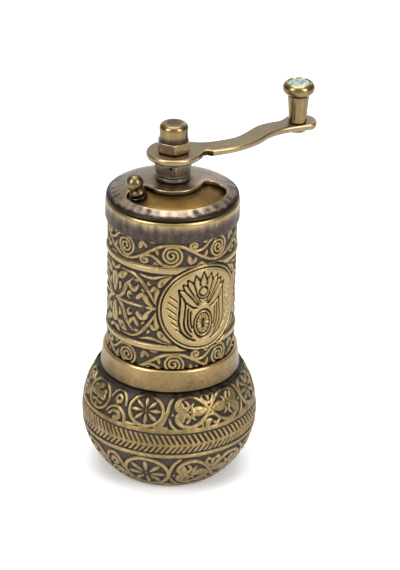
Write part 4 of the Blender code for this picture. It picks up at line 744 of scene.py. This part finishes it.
# Engraved curls on the widest leaves.
curls = [
    [(5.0, 2.3), (4.4, 2.4), (4.3, 3.0)], [(7.5, 5.5), (7.1, 5.0), (6.6, 5.1)],
    [(1.2, 5.0), (0.8, 5.1), (0.7, 5.6)], [(-1.0, 7.3), (-1.4, 7.6), (-1.2, 8.2)],
    [(11.2, 8.2), (11.2, 7.5), (10.7, 7.2)], [(14.53, 6.0), (14.53, 3.0)],
    [(10.9, 2.4), (10.1, 4.0), (9.4, 5.4)], [(2.9, 5.4), (4.2, 7.1)],
]
for way in (-1.0, 1.0):
    for up in (-1.0, 1.0):
        placed = placing((way * SCROLL_SIDE, FIELD_MIDDLE), way, up)
        raise_strokes(sheet, scrolls, placed, BARREL_TOP, crown=0.15)
        for points in curls:
            raise_line(sheet, placed(smooth_path(points, 4)), 0.07, 0.34, edge=0.22, carve=True)
for y, inner_line in ((1.0, 1.75), (sheet.height - 1.0, sheet.height - 1.75)):
    raise_band(sheet, y - 0.9, y + 0.9, RING_TOP, edge=0.3)
    raise_band(sheet, inner_line - 0.06, inner_line + 0.06, 0.3, edge=0.2, carve=True)

where, x, y = sheet.patch(-14.0, 14.0, -2.0, 27.0)
away = np.hypot(x, y - FIELD_MIDDLE)
inside = soft_step((MEDALLION_RADIUS - away) / 0.26 + 0.5)
dark_gap = soft_step((MEDALLION_RADIUS + 0.6 - away) / 0.26 + 0.5)
sheet.relief[where] = sheet.relief[where] * (1.0 - dark_gap) + MEDALLION_TOP * inside


def engrave(points, half_width=0.17, depth=0.55):
    """A line cut into the medallion, from its middle in mm."""
    points = placing((0.0, FIELD_MIDDLE))(points)
    raise_line(sheet, points, half_width, depth, edge=0.24, carve=True)


engrave(ring_path((0.0, 0.0), 11.75, steps=90), 0.18)
engrave(ring_path((0.0, 0.0), 11.1, steps=90), 0.07, 0.3)

# Lotus: petal tips and the notches between them, as degrees from upright and mm from the fan's foot.
FAN_FOOT = -0.5
tips = [(0.0, 11.0), (6.6, 8.7), (13.0, 10.5), (19.8, 8.6), (26.4, 10.3), (31.6, 8.8), (36.4, 9.9),
        (42.0, 8.2), (47.5, 9.6)]
fan = [(reach * math.sin(math.radians(turn)), FAN_FOOT + reach * math.cos(math.radians(turn)))
       for turn, reach in tips]
# The right half: the petals and the flame-shaped leaves beside them, as lines and their half widths,
# and the feet and lengths of the slanting strokes outside those.
petals = [(fan, 0.2), ([fan[1], (1.15, 7.3), (0.75, 6.5)], 0.18), ([fan[3], (2.3, 5.6), (1.0, 1.7)], 0.18),
          ([fan[5], (3.1, 4.4), (1.3, 1.2)], 0.17), ([fan[7], (3.4, 3.4), (1.6, 0.9)], 0.17)]
flames = [([fan[8], (6.6, 3.6), (6.75, 0.0), (6.9, -3.6), (6.2, -6.4), (4.6, -8.3), (2.4, -9.5)], 0.21),
          ([(6.6, 4.6), (5.2, 2.2), (5.3, -1.2), (5.5, -4.0), (4.9, -6.4), (3.2, -8.4)], 0.18),
          ([(5.2, 2.2), (3.2, 0.6), (1.9, 0.1)], 0.17),
          ([(4.3, 0.3), (4.5, -2.2), (4.3, -4.9), (3.4, -7.0)], 0.17),
          ([(3.6, -0.6), (3.7, -2.6), (3.5, -4.6), (3.1, -5.8)], 0.16)]
strokes = [(7.2, 2.5, 2.3), (7.3, 0.6, 2.6), (7.4, -1.3, 2.7), (7.3, -3.2, 2.4), (7.0, -5.0, 1.9),
           (6.0, -6.9, 1.7)]
for way in (-1.0, 1.0):
    placed = placing((0.0, 0.0), way)
    for points, half_width in petals:
        engrave(placed(points), half_width)
    for points, half_width in flames:
        engrave(placed(smooth_path(points, 5)), half_width)
    for inner, low, length in strokes:
        engrave(placed([(inner + 0.2, low), (inner + length, low + 0.72 * length)]), 0.15, 0.5)
engrave(ring_path((0.0, 4.8), 1.3), 0.15)
engrave(ring_path((0.0, 4.8), 2.15, start=196.0, turn=148.0, steps=20), 0.15)
for y, half_length in ((2.0, 0.8), (1.35, 0.6)):
    engrave([(-half_length, y), (half_length, y)], 0.12, 0.4)
OVAL = -4.7
RAYS = 14
engrave(ring_path((0.0, OVAL), 2.75, squash=1.5), 0.17)
engrave(ring_path((0.0, OVAL), 2.0, squash=1.55), 0.12)
for ray in range(RAYS):
    angle = 2.0 * math.pi * (ray + 0.5) / RAYS
    engrave([(0.55 * math.cos(angle), OVAL + 1.2 * math.sin(angle)),
             (1.85 * math.cos(angle), OVAL + 2.9 * math.sin(angle))], 0.1)
engrave([(0.0, OVAL - 0.9), (0.0, OVAL + 0.9)], 0.42)
relief = weathered(sheet, 2, 0.04, 13)
barrel_ring("barrel_field", FIELD_FOOT, FIELD_TOP, sheet, relief, MEDALLION_TURN)

# Barrel, upper frieze. The running vine again, under the rim.

UPPER_VINE_START = -90.0
rows = 46
sheet = Sheet(VINE_REPEAT, FRIEZE_TOP - FIELD_TOP, BARREL_COLUMNS // 4, rows)
running_vine(sheet, 0.0, BARREL_TOP)
raise_band(sheet, -1.0, 0.2, BARREL_TOP)
relief = weathered(sheet, 4, 0.05, 17)
barrel_ring("barrel_upper_frieze", FIELD_TOP, FRIEZE_TOP, sheet, relief, UPPER_VINE_START)

# Barrel, rim and lining. The plain turned rim that the cover sits in, and behind the carving the
# wall of the hopper, its ledge for the burr and the spigot that slides into the bowl's collar.

RIM_RADIUS = 18.05
RIM_TOP = 80.7
outline = [(14.3, 36.9), (14.3, 35.5), (15.4, 35.5), (15.4, 22.3), (15.7, 22.0), (16.15, 22.0), (16.45, 22.3),
           (16.45, 37.25), (16.0, 37.3), (16.0, FRIEZE_TOP), (17.5, FRIEZE_TOP),
           (RIM_RADIUS - 0.15, FRIEZE_TOP + 0.15), (RIM_RADIUS, FRIEZE_TOP + 0.5)]
outline += [(RIM_RADIUS, float(z)) for z in np.arange(75.7, 79.8, 0.4)]
outline += lifted(RIM_TOP, [(RIM_RADIUS, -0.8), (RIM_RADIUS - 0.08, -0.42), (RIM_RADIUS - 0.28, -0.14),
                            (RIM_RADIUS - 0.6, 0.0), (16.6, 0.0)])
outline += [(16.6, 75.8), (15.4, 75.8), (15.4, 36.9)]
rim = turned("barrel_rim_and_lining", outline, soft=0.1)


def streaks(x, y, seed, most=70):
    """An uneven value from about -1 to 1 that changes with the angle round the mill."""
    chance = np.random.default_rng(seed)
    angle = np.arctan2(y, x)
    waves = [np.sin(chance.integers(5, most) * angle + chance.uniform(0.0, 6.28)) for wave in range(14)]
    return sum(waves) / 3.7


def rim_wear(x, y, z, up):
    wear_and_shade = -0.5 + 1.15 * soft_step((z - 77.1 + 0.3 * streaks(x, y, 21)) / 3.6) + 0.06 * streaks(x, y, 22, 140)
    return np.where(np.hypot(x, y) < 17.3, UNSEEN_WEAR, wear_and_shade)


mark_wear_and_shade(rim, rim_wear)
# Turned brass that kept its dark patina, purplish grey and finely streaked, and is rubbed golden
# along the rounded top edge.
dark_brass = wiped_metal("darkened_turned_brass", ["#29221e", "#423935", "#65584a", "#94805a", "#ac9261"],
                         (0.5, 0.3), (3.0, 0.5), (0.5, 0.4), lines=(8.0, 8.0, 1.0))
finish_piece(rim, dark_brass, "barrel", "barrel")

# Cover. A domed lid pressed from sheet brass, sunk into the rim on its skirt. The kidney slot that
# the spice goes in by was cut out of it and its edge rolled over.

DOME_RADIUS = 37.3
DOME_TOP = 86.18
COVER_RADIUS = 17.8
SHAFT_HOLE = 3.75
SLOT_RADIUS = 11.35
SLOT_HALF_WIDTH = 3.35
SLOT_ENDS = (218.0, 346.0)
AXIS = (0.0, 0.0)
LIP = 0.22


def dome_height(radius, drop=0.0):
    return DOME_TOP - drop - DOME_RADIUS + np.sqrt(DOME_RADIUS ** 2 - np.asarray(radius, dtype=float) ** 2)


def kidney(half_width, steps=39):
    """Outline of the filling slot: two arcs about the mill's axis and a round end on each."""
    first, last = SLOT_ENDS
    outer = ring_path(AXIS, SLOT_RADIUS + half_width, first, last - first, steps)
    inner = ring_path(AXIS, SLOT_RADIUS - half_width, last, first - last, steps)
    ends = [ring_path(round_of(AXIS, SLOT_RADIUS, at), half_width, start, 180.0, 15)[1:-1]
            for at, start in ((last, last), (first, first + 180.0))]
    return outer + ends[0] + inner + ends[1]


def flat_plate(name, outline, low, high):
    """A plate with that outline of (x, y), between two heights, all in mm."""
    piece = drawn(name, [(x, y, low) for x, y in outline], 'NGON')
    bpy.ops.object.mode_set(mode='EDIT')
    bpy.ops.mesh.select_all(action='SELECT')
    bpy.ops.mesh.extrude_region_move(TRANSFORM_OT_translate={"value": (0.0, 0.0, (high - low) * MM)})
    close_up(0.001)
    return piece


def cut_with(piece, tool, operation='DIFFERENCE'):
    """Cuts a piece with a tool, or keeps only what lies inside the tool, and puts the tool away."""
    step = piece.modifiers.new("cut", 'BOOLEAN')
    step.operation = operation
    step.solver = 'EXACT'
    step.object = tool
    pick(piece)
    bpy.ops.object.modifier_apply(modifier=step.name)
    bpy.data.objects.remove(tool)
    bpy.ops.object.shade_smooth_by_angle(angle=TURNED_EDGE)


def joined(piece, other):
    pick(piece, other)
    bpy.ops.object.join()
    return piece


outline = [(float(r), float(dome_height(r))) for r in np.linspace(SHAFT_HOLE, 17.15, 24)]
outline += [(17.5, 81.76), (17.72, 81.55), (COVER_RADIUS, 81.3), (17.72, 81.08), (17.5, 81.0), (16.45, 81.0),
            (16.45, 76.4), (16.2, 76.1), (15.95, 76.1), (15.75, 76.4), (15.75, 81.2)]
outline += [(float(r), float(dome_height(r, 1.0))) for r in np.linspace(15.4, SHAFT_HOLE, 8)]
cover = turned("cover_dome", outline, steps=200)
cut_with(cover, flat_plate("slot_cutter", kidney(SLOT_HALF_WIDTH), 80.0, 90.0))

# The slot's rolled lip, a thin round bead a little below the dome and outside the cut.

LIP_SINK = 0.12
slot_edge = kidney(SLOT_HALF_WIDTH + LIP_SINK, 59)
lip = drawn("slot_lip", [(x, y, dome_height(math.hypot(x, y)) - LIP_SINK) for x, y in slot_edge])
bpy.ops.object.convert(target='CURVE')
lip.data.bevel_depth = LIP * MM
lip.data.bevel_resolution = 2
bpy.ops.object.convert(target='MESH')
bpy.ops.object.shade_smooth()
cover = joined(cover, lip)

edge_places = np.array(slot_edge)


def cover_wear_and_shade(x, y, z, up):
    radius = np.hypot(x, y)
    beside_slot = np.min(np.hypot(x[:, None] - edge_places[:, 0], y[:, None] - edge_places[:, 1]), axis=1)
    outer_side = soft_step((radius - SLOT_RADIUS + 1.0) / 2.0)
    wear_and_shade = 0.55 * soft_step((LIP + 0.7 - beside_slot) / (0.3 + 0.7 * outer_side))
    band = soft_step((radius - 14.4) / 1.0)
    wear_and_shade = wear_and_shade + band * (0.4 * streaks(x, y, 23, 60) - 0.12) * soft_step((17.0 - radius) / 0.8)
    # Painted shade and a painted dark reflection: near black along the groove at the cover's outer edge, by
    # the rim.
    wear_and_shade = wear_and_shade - 1.1 * soft_step((radius - 16.7 - 0.15 * streaks(x, y, 24, 50)) / 0.7)
    # Painted shade: darker round the foot of the spacer.
    wear_and_shade = wear_and_shade - 0.4 * soft_step((6.0 - radius) / 1.2)
    return np.where(z < dome_height(np.minimum(radius, COVER_RADIUS)) - 0.6, UNSEEN_WEAR, wear_and_shade)


mark_wear_and_shade(cover, cover_wear_and_shade)

# Pressed sheet brass, antiqued grey-brown and wiped: a soft satin sheen with clouds of old tarnish
# 4 mm across and brighter on the slot's rolled edge. On the cover it is painted near black along the
# rim's groove, as painted shade and a painted dark reflection, and darker round the spacer's foot as
# painted shade.
pressed_brass = wiped_metal("antiqued_pressed_brass", ["#2a221c", "#4f453d", "#807262", "#988770", "#b09a70"],
                            (0.42, 0.28), (4.0, 0.6), (0.6, 0.5))
finish_piece(cover, pressed_brass, "barrel", "top_cover")

# Shutter. A domed brass plate that turns under the cover to close the slot, dull and golden where
# fingers never wipe it, with a ball-ended button riveted through it as its handle.

dull_brass = wiped_metal("dull_golden_brass", ["#281d0e", "#433318", "#685129", "#7a6134", "#8d7240"],
                         (0.5, 0.34), (5.0, 0.6), (0.5, 0.3))
paint(solids["shutter_plate"], dull_brass)

# Cast and turned brass, buffed on a wheel: shiny enough to mirror the lamps as soft bars. Painted shade
# darkens it in the grip's groove under the head, on the left faces of the nut's hexagon and at the
# button's foot down in the slot, and it is darker and purplish low on the nut's cap.
buffed_brass = wiped_metal("buffed_antique_brass", ["#221b16", "#43382f", "#776648", "#8d784f", "#b1986a"],
                           (0.34, 0.17), (3.0, 0.35), (0.4, 0.3), depth=0.008)


def moved(piece, matrix):
    """Puts a piece in its place for good, with its own origin left at the mill's."""
    pick(piece)
    piece.matrix_world = matrix
    bpy.ops.object.transform_apply(location=True, rotation=True, scale=True)
    return piece


BUTTON_BALL = 2.35
BUTTON_BALL_MIDDLE = 4.87
BUTTON_SEAT = 83.11
BUTTON_LEAN = math.radians(17.71)
outline = [(0.0, -1.6), (1.6, -1.6), (1.7, -1.5), (1.7, -1.1), (1.0, -1.1), (1.0, 0.3), (2.25, 0.3),
           (BUTTON_BALL, 0.4), (BUTTON_BALL, 0.95), (2.2, 1.1), (1.55, 1.15)]
outline += ring_path((1.3, 1.95), 0.85, -58.0, 116.0, 8) + [(1.6, 2.75), (1.5, 2.9)]
outline += ring_path((0.0, BUTTON_BALL_MIDDLE), BUTTON_BALL, -54.0, 144.0, 21)
outline[-1] = (0.0, BUTTON_BALL_MIDDLE + BUTTON_BALL)
button = turned("shutter_button_ball", outline, steps=48)
# Darker towards the foot; the foot, which stands down in the slot, is darkened as painted shade.
mark_wear_and_shade(button, lambda x, y, z, up: np.where(z > 3.1, -0.12, np.where(z > 1.2, -0.3, -0.6)))
seat = Vector((*round_of(AXIS, SLOT_RADIUS, SLOT_ENDS[0]), BUTTON_SEAT)) * MM
pointing = Vector((*round_of(AXIS, math.sin(BUTTON_LEAN), SLOT_ENDS[0]), math.cos(BUTTON_LEAN)))
moved(button, Matrix.Translation(seat) @ pointing.to_track_quat('Z', 'Y').to_matrix().to_4x4())
finish_piece(button, buffed_brass, "shutter", "shutter_button")

# Spacer. A small cast collar with eight tapered flats that holds the crank clear of the cover; it
# keeps the dark skin of the casting, rubbed light along the edges of its flats.

SPACER_FOOT = 87.4
SPACER_TOP = 91.7
SPACER_BORE = 3.2
SPACER_FLATS = 8
SPACER_TURN = math.radians(9.0)


def rod(sides, radius, length, place, rotation=(0.0, 0.0, 0.0)):
    """A cylinder of that many sides with its middle at a place, all in mm."""
    pick()
    bpy.ops.mesh.primitive_cylinder_add(vertices=sides, radius=radius * MM, depth=length * MM,
                                        rotation=rotation, location=[part * MM for part in place])
    return bpy.context.active_object


outline = lifted(SPACER_FOOT, [(SPACER_BORE, 0.0), (4.5, 0.0), (4.65, 0.12), (4.65, 0.6), (4.5, 0.72),
                               (3.9, 0.8)])
outline += lifted(SPACER_TOP, [(3.9, -0.6), (5.1, -0.5), (5.25, -0.38), (5.25, -0.12), (5.1, 0.0),
                               (SPACER_BORE, 0.0)])
spacer = turned("spacer_collar_cast", outline, steps=64)
outline = lifted(SPACER_FOOT, [(3.5, 0.62), (4.7, 0.62), (4.75, 0.8)])
outline += lifted(SPACER_TOP, [(5.3, -0.55), (3.5, -0.55)])
flats = turned("spacer_flats", outline, steps=SPACER_FLATS, soft=0.14, segments=2)
moved(flats, Matrix.Rotation(SPACER_TURN, 4, 'Z'))
cut_with(flats, rod(20, 0.4, 3.0, (-0.6, -4.9, 90.4), (QUARTER, 0.0, 0.0)))
spacer = joined(spacer, flats)


def spacer_wear(x, y, z, up):
    share = 2.0 * math.pi / SPACER_FLATS
    turn = (np.arctan2(y, x) - SPACER_TURN) % share
    beside_edge = np.minimum(turn, share - turn) * 4.8
    waist = (z > SPACER_FOOT + 0.75) & (z < SPACER_TOP - 0.55)
    return np.where(waist & (beside_edge < 0.3), 0.5, -0.1)


mark_wear_and_shade(spacer, spacer_wear, 'FACE')
# Cast spacer metal, grey and a little brown like old pewter, with the fine pits of its mould.
dark_casting = wiped_metal("dark_cast_spacer_metal", ["#241f1a", "#4a4238", "#6a6152", "#867b66", "#a99b80"],
                           (0.5, 0.36), (2.5, 0.4), (0.4, 0.5))
finish_piece(spacer, dark_casting, "drive", "spacer_collar")

# Crank arm. A flat S-curved arm blanked from brass plate, with a round hub on the shaft's square, a
# small hook-shaped notch beside it and a wider end for the grip's pin; its edges are rounded over.

ARM_FOOT = 92.0
ARM_TOP = 93.8
ARM_ANGLE = math.radians(31.4)
ARM_REACH = 39.2
ARM_WIDTH = 6.0
ARM_SWAY = 3.1
HUB_RADIUS = 7.25
HUB_FROM, HUB_TO = 38.0, -72.0
EYE_RADIUS = 4.5
EYE_FROM, EYE_TO = 130.0, -72.0
EYE = (ARM_REACH + 1.3, 0.6)
# Share of the reach, sway of the arm's middle and its width there.
stations = [(0.24, -0.65, 1.10), (0.37, -1.0, 1.02), (0.50, -0.98, 0.95), (0.62, -0.52, 1.07),
            (0.715, 0.02, 1.05), (0.80, 0.20, 1.0), (0.90, 0.15, 0.95)]
middles = [(share * ARM_REACH, sway * ARM_SWAY, 0.5 * width * ARM_WIDTH) for share, sway, width in stations]
notch = round_of(AXIS, 1.1 * HUB_RADIUS, -38.0)
front = round_of(AXIS, HUB_RADIUS, HUB_TO)
far_edge = smooth_path([round_of(AXIS, HUB_RADIUS, HUB_FROM)] + [(x, y + half) for x, y, half in middles]
                       + [round_of(EYE, EYE_RADIUS, EYE_FROM)], 7)
near_edge = smooth_path([round_of(EYE, EYE_RADIUS, EYE_TO)] + [(x, y - half) for x, y, half in middles[:0:-1]]
                        + [(notch[0] + 2.42, notch[1] - 0.33)], 7)
outline = ring_path(AXIS, HUB_RADIUS, HUB_TO, -250.0, 40) + far_edge[1:-1]
outline += ring_path(EYE, EYE_RADIUS, EYE_FROM, -202.0, 24) + near_edge[1:]
outline += [(notch[0] + 1.65, notch[1] + 0.66), (notch[0] + 0.66, notch[1] + 0.77), notch,
            (0.5 * (notch[0] + front[0]), 0.5 * (notch[1] + front[1]) - 0.25)]


def along_arm(x, y):
    """A place given along and across the arm, turned to where the arm points."""
    return (x * math.cos(ARM_ANGLE) - y * math.sin(ARM_ANGLE),
            x * math.sin(ARM_ANGLE) + y * math.cos(ARM_ANGLE))


arm = flat_plate("crank_arm_blank", [along_arm(x, y) for x, y in outline], ARM_FOOT, ARM_TOP)
bevelled(arm, 0.6, 5, 50.0)

SHAFT_FLATS = 4.2
PIN_RADIUS = 1.5
GRIP_PLACE = along_arm(ARM_REACH, 0.0)
cut_with(arm, rod(4, 0.5 * SHAFT_FLATS * math.sqrt(2.0), 6.0, (0.0, 0.0, ARM_TOP), (0.0, 0.0, 0.5 * QUARTER)))
cut_with(arm, rod(32, PIN_RADIUS, 6.0, (*GRIP_PLACE, ARM_TOP)))

notch_place = along_arm(*notch)


def arm_wear_and_shade(x, y, z, up):
    in_notch = np.hypot(x - notch_place[0] - 1.0, y - notch_place[1]) < 2.2
    wear_and_shade = np.where(np.abs(up) > 0.97, 0.04, np.where(up > 0.2, 0.38, 0.0))
    # The notch's inside walls are painted near black as shade.
    return np.where(in_notch & (up < 0.5), -1.0, wear_and_shade)


mark_wear_and_shade(arm, arm_wear_and_shade, 'FACE')
# Blanked brass plate, antiqued and wiped: satin grey-brown on the flats, golden on the rounded edges
# that hands rub, with faint marks from the sheet it was cut from. The inside of the notch by the hub
# is painted near black as shade.
plate_brass = wiped_metal("antiqued_plate_brass", ["#2b231a", "#55483a", "#82735a", "#9c8760", "#b89b68"],
                          (0.42, 0.28), (6.0, 0.35), (0.5, 0.35), lines=(2.0, 12.0, 2.0))
finish_piece(arm, plate_brass, "drive", "crank_arm")

# Cap nut. A tall closed brass nut that screws the crank down on its shaft: a chamfered hexagon, a
# short flare and a round-shouldered cap with a flat top.

NUT_FOOT = 94.1
NUT_TURN = math.radians(-86.0)
NUT_FLATS = 8.1
HEXAGON_TOP = 96.9
NUT_TOP = 101.8
nut = rod(6, 0.5 * NUT_FLATS / math.cos(math.pi / 6.0), HEXAGON_TOP - NUT_FOOT,
          (0.0, 0.0, 0.5 * (NUT_FOOT + HEXAGON_TOP)), (0.0, 0.0, NUT_TURN - QUARTER))
nut.name = "cap_nut_turned"
bpy.ops.object.transform_apply(location=True, rotation=True, scale=True)
bevelled(nut, 0.15, 3, 30.0)
outline = lifted(NUT_FOOT, [(0.0, -1.0), (4.1, -1.0), (4.1, 0.0), (4.8, 0.4)])
outline += lifted(HEXAGON_TOP, [(4.8, -0.42), (4.0, 0.0), (4.0, 1.0), (0.0, 1.0)])
cut_with(nut, turned("chamfer_cone", outline, steps=96), 'INTERSECT')
outline = lifted(HEXAGON_TOP, [(2.6, -0.3), (3.98, -0.05), (3.98, 0.1)])
outline += [(3.84 + 0.12 * math.exp(-2.5 * rise), HEXAGON_TOP + rise) for rise in np.arange(0.25, 3.0, 0.2)]
outline += ring_path((2.38, NUT_TOP - 1.5), 1.5, 0.0, 88.0, 9)
outline += lifted(NUT_TOP, [(2.3, 0.0), (2.0, -0.05), (0.0, -0.08), (0.0, -1.0), (2.6, -1.6)])
nut = joined(nut, turned("cap", outline, steps=96))


def nut_wear_and_shade(x, y, z, up):
    radius = np.hypot(x, y)
    hexagon = z < HEXAGON_TOP - 0.02
    # Painted shade: the hexagon's faces on the left side are darker. The cap is darker towards the hexagon.
    wear_and_shade = np.where(hexagon, np.where(x < 0.3, -0.38, -0.02),
                    0.02 - 0.7 * soft_step((HEXAGON_TOP + 2.3 - z) / 2.0))
    wear_and_shade = np.where(hexagon & (up > 0.15), 0.55, wear_and_shade)
    return np.where(z > NUT_TOP - 0.12, np.where(radius < 2.0, -0.35, 0.5), wear_and_shade)


mark_wear_and_shade(nut, nut_wear_and_shade, 'FACE')
finish_piece(nut, buffed_brass, "drive", "cap_nut")

# Grip. A small turned brass knob that spins on a steel pin riveted through the crank: a stem that
# widens upwards, a thin groove, and a round head with a seat for the inlay.

GRIP_FOOT = 94.1
GRIP_SEAT = 104.6
PIN_HEAD = 103.2
INLAY_RADIUS = 3.0
GRIP_AXIS = Matrix.Translation((GRIP_PLACE[0] * MM, GRIP_PLACE[1] * MM, 0.0))
outline = lifted(GRIP_FOOT, [
    (PIN_RADIUS, 0.0), (2.3, 0.0), (2.5, 0.15), (2.5, 1.0), (2.6, 3.0), (2.78, 5.5), (2.93, 7.5),
    (2.85, 7.75), (2.7, 7.85), (2.7, 8.05), (2.95, 8.15), (3.7, 8.3), (4.15, 8.75), (4.33, 9.3), (4.35, 9.75),
    (4.28, 10.25), (4.05, 10.75), (3.65, 11.15), (3.3, 11.33), (3.12, 11.3), (3.02, 11.15)])
outline += [(3.02, GRIP_SEAT - 0.05), (2.4, GRIP_SEAT - 0.05), (2.4, PIN_HEAD), (PIN_RADIUS, PIN_HEAD)]
grip = turned("grip_knob", outline, steps=72)
# The groove under the head is painted near black as shade; the top round the inlay is rubbed bright.
mark_wear_and_shade(grip, lambda x, y, z, up: np.where((z > GRIP_FOOT + 7.7) & (z < GRIP_FOOT + 8.2), -1.0,
                                             np.where(z > GRIP_FOOT + 11.1, 0.6, 0.0)))
finish_piece(moved(grip, GRIP_AXIS), buffed_brass, "grip", "grip_body")

outline = lifted(GRIP_SEAT, [(0.0, 0.0), (INLAY_RADIUS - 0.05, 0.0), (INLAY_RADIUS, 0.1), (INLAY_RADIUS, 0.6),
                             (2.8, 0.78), (2.0, 0.93), (1.0, 0.99), (0.0, 1.0)])
inlay = moved(turned("grip_inlay_disc", outline, steps=64), GRIP_AXIS)

# Moulded pearl plastic: pale green-white under a clear gloss, with darker green where its flakes of
# mica lie the other way, in bands about 2 mm wide.
pearl, tree, shader, place = blank_material("pearl_plastic")
flow = add_node(tree, "TexNoise", {}, {"Scale": 1.0 / (2.2 * MM), "Detail": 2.0, "Distortion": 1.2},
                {"Vector": place})
flakes = add_node(tree, "TexNoise", {}, {"Scale": 1.0 / (0.3 * MM), "Detail": 1.0}, {"Vector": place})
colour = add_node(tree, "ValToRGB", links={"Fac": flow.outputs["Fac"]})
set_ramp(colour, [(0.38, "#24503a"), (0.47, "#587564"), (0.56, "#7d8b80"), (0.68, "#b4c2b5")])
bump = add_node(tree, "Bump", {}, {"Strength": 0.2, "Distance": 0.02 * MM}, {"Height": flakes.outputs["Fac"]})
connect(tree, shader, {"Base Color": colour.outputs["Color"], "Normal": bump.outputs["Normal"]})
for socket, value in (("Roughness", 0.22), ("Coat Weight", 0.6), ("Coat Roughness", 0.08)):
    shader.inputs[socket].default_value = value
finish_piece(inlay, pearl, "grip", "grip_inlay")

# Works. The shaft, its bearings, clips, spring and burrs inside the barrel, and the pin of the grip:
# they keep their solids, and each gets the metal that it is made of.

# Turned steel, left bright from the lathe: cool grey with fine rings, a little oily.
turned_steel = wiped_metal("turned_steel", ["#4b4a49", "#6d6c6b", "#8d8d8e", "#a3a3a4", "#b9b9ba"],
                           (0.36, 0.24), (5.0, 0.3), (0.6, 0.2), depth=0.015)
# Spring steel, blued by its heat treatment and oiled: dark grey with a faint sheen.
spring_steel = wiped_metal("oiled_spring_steel", ["#2c2d30", "#43454a", "#5b5e63", "#6e7176", "#85878a"],
                           (0.42, 0.3), (2.0, 0.4), (0.3, 0.2), depth=0.01)
# Cast and turned bronze, as bearings are: reddish gold with fine tool marks, brown where oil has dried.
bearing_bronze = wiped_metal("turned_bearing_bronze", ["#4a3420", "#6d4f2c", "#94703c", "#ab8549", "#c39c5e"],
                             (0.4, 0.28), (4.0, 0.5), (0.5, 0.3), depth=0.015)
# Hardened cast iron with ground teeth: dark grey and grainy, lighter where spice has rubbed it.
burr_iron = wiped_metal("ground_cast_iron", ["#1f1f20", "#363637", "#4f4f50", "#656566", "#7d7d7e"],
                        (0.58, 0.42), (3.0, 0.5), (0.35, 0.6), depth=0.03)
works = [(turned_steel, "bridge_spider bridge_screw_1 bridge_screw_2 bridge_screw_3"),
         (turned_steel, "drive_shaft spring_seat_washer grip_pin"),
         (spring_steel, "shutter_spring_washer shutter_retainer_ring"),
         (spring_steel, "shaft_circlip shaft_end_clip burr_spring"),
         (bearing_bronze, "bridge_bush thrust_washer adjuster_nut"),
         (dark_casting, "cover_bush"), (burr_iron, "outer_burr inner_burr")]
for material, names in works:
    for name in names.split():
        paint(solids[name], material)

# Studio. A pale paper sweep, large soft lights, and the camera where the photograph was taken from.

FLOOR_SIZE = 6.0
pick()
bpy.ops.mesh.primitive_plane_add(size=FLOOR_SIZE, location=(0.0, 0.0, 0.0))
floor = bpy.context.active_object
floor.name = "studio_floor"
paper, tree, shader, place = blank_material("white_paper")
shader.inputs["Base Color"].default_value = linear("#f4f4f4")
shader.inputs["Roughness"].default_value = 0.35
paint(floor, paper)

world = bpy.data.worlds.new("studio")
bpy.context.scene.world = world
world.use_nodes = True
tree = world.node_tree
sky = tree.nodes["Background"]
sky.inputs["Color"].default_value = linear("#ffffff")
# White walls before and behind, with the dim room showing at both sides.
parts = add_node(tree, "SeparateXYZ", links={"Vector": add_node(tree, "TexCoord").outputs["Generated"]})
aside = add_node(tree, "Math", {"operation": 'ABSOLUTE'}, links={0: parts.outputs["X"]})
walls = add_node(tree, "MapRange", {}, {"From Min": 0.4, "From Max": 0.8, "To Min": 0.9, "To Max": 0.3},
                 {"Value": aside.outputs[0]})
connect(tree, sky, {"Strength": walls.outputs["Result"]})

SUBJECT = Vector((0.0, 0.0, 53.8 * MM))


def facing_subject(place):
    """Stands a light or the camera at a place, in metres, and aims it at the middle of the mill."""
    place = Vector(place)
    return Matrix.Translation(place) @ (SUBJECT - place).to_track_quat('-Z', 'Y').to_matrix().to_4x4()


# Each softbox's place, width and height in metres, and its watts.
for side, place, width, height, watts in (("left", (-0.6, -0.45, 0.55), 0.35, 0.6, 6.0),
                                          ("right", (0.6, -0.5, 0.5), 0.35, 0.6, 6.0),
                                          ("top", (0.0, 0.1, 0.9), 0.7, 0.7, 6.0),
                                          ("back", (0.42, 1.0, 0.55), 0.5, 0.4, 0.7)):
    light = bpy.data.lights.new("softbox_" + side, 'AREA')
    light.shape = 'RECTANGLE'
    light.size = width
    light.size_y = height
    light.energy = watts
    lamp = bpy.data.objects.new(light.name, light)
    bpy.context.scene.collection.objects.link(lamp)
    lamp.matrix_world = facing_subject(place)

VIEW_DOWN = math.radians(26.8)
VIEW_DISTANCE = 0.786
CAMERA_ROLL = math.radians(1.0)
SHIFT_PIXELS = 28.8
PHOTOGRAPH_HEIGHT = 570.0
lens = bpy.data.cameras.new("camera")
lens.lens = 183.2
lens.sensor_width = 36.0
lens.shift_x = SHIFT_PIXELS / PHOTOGRAPH_HEIGHT
camera = bpy.data.objects.new("camera", lens)
bpy.context.scene.collection.objects.link(camera)
eye = SUBJECT + VIEW_DISTANCE * Vector((0.0, -math.cos(VIEW_DOWN), math.sin(VIEW_DOWN)))
camera.matrix_world = facing_subject(eye) @ Matrix.Rotation(CAMERA_ROLL, 4, 'Z')
bpy.context.scene.camera = camera
bpy.context.scene.view_settings.view_transform = 'Standard'
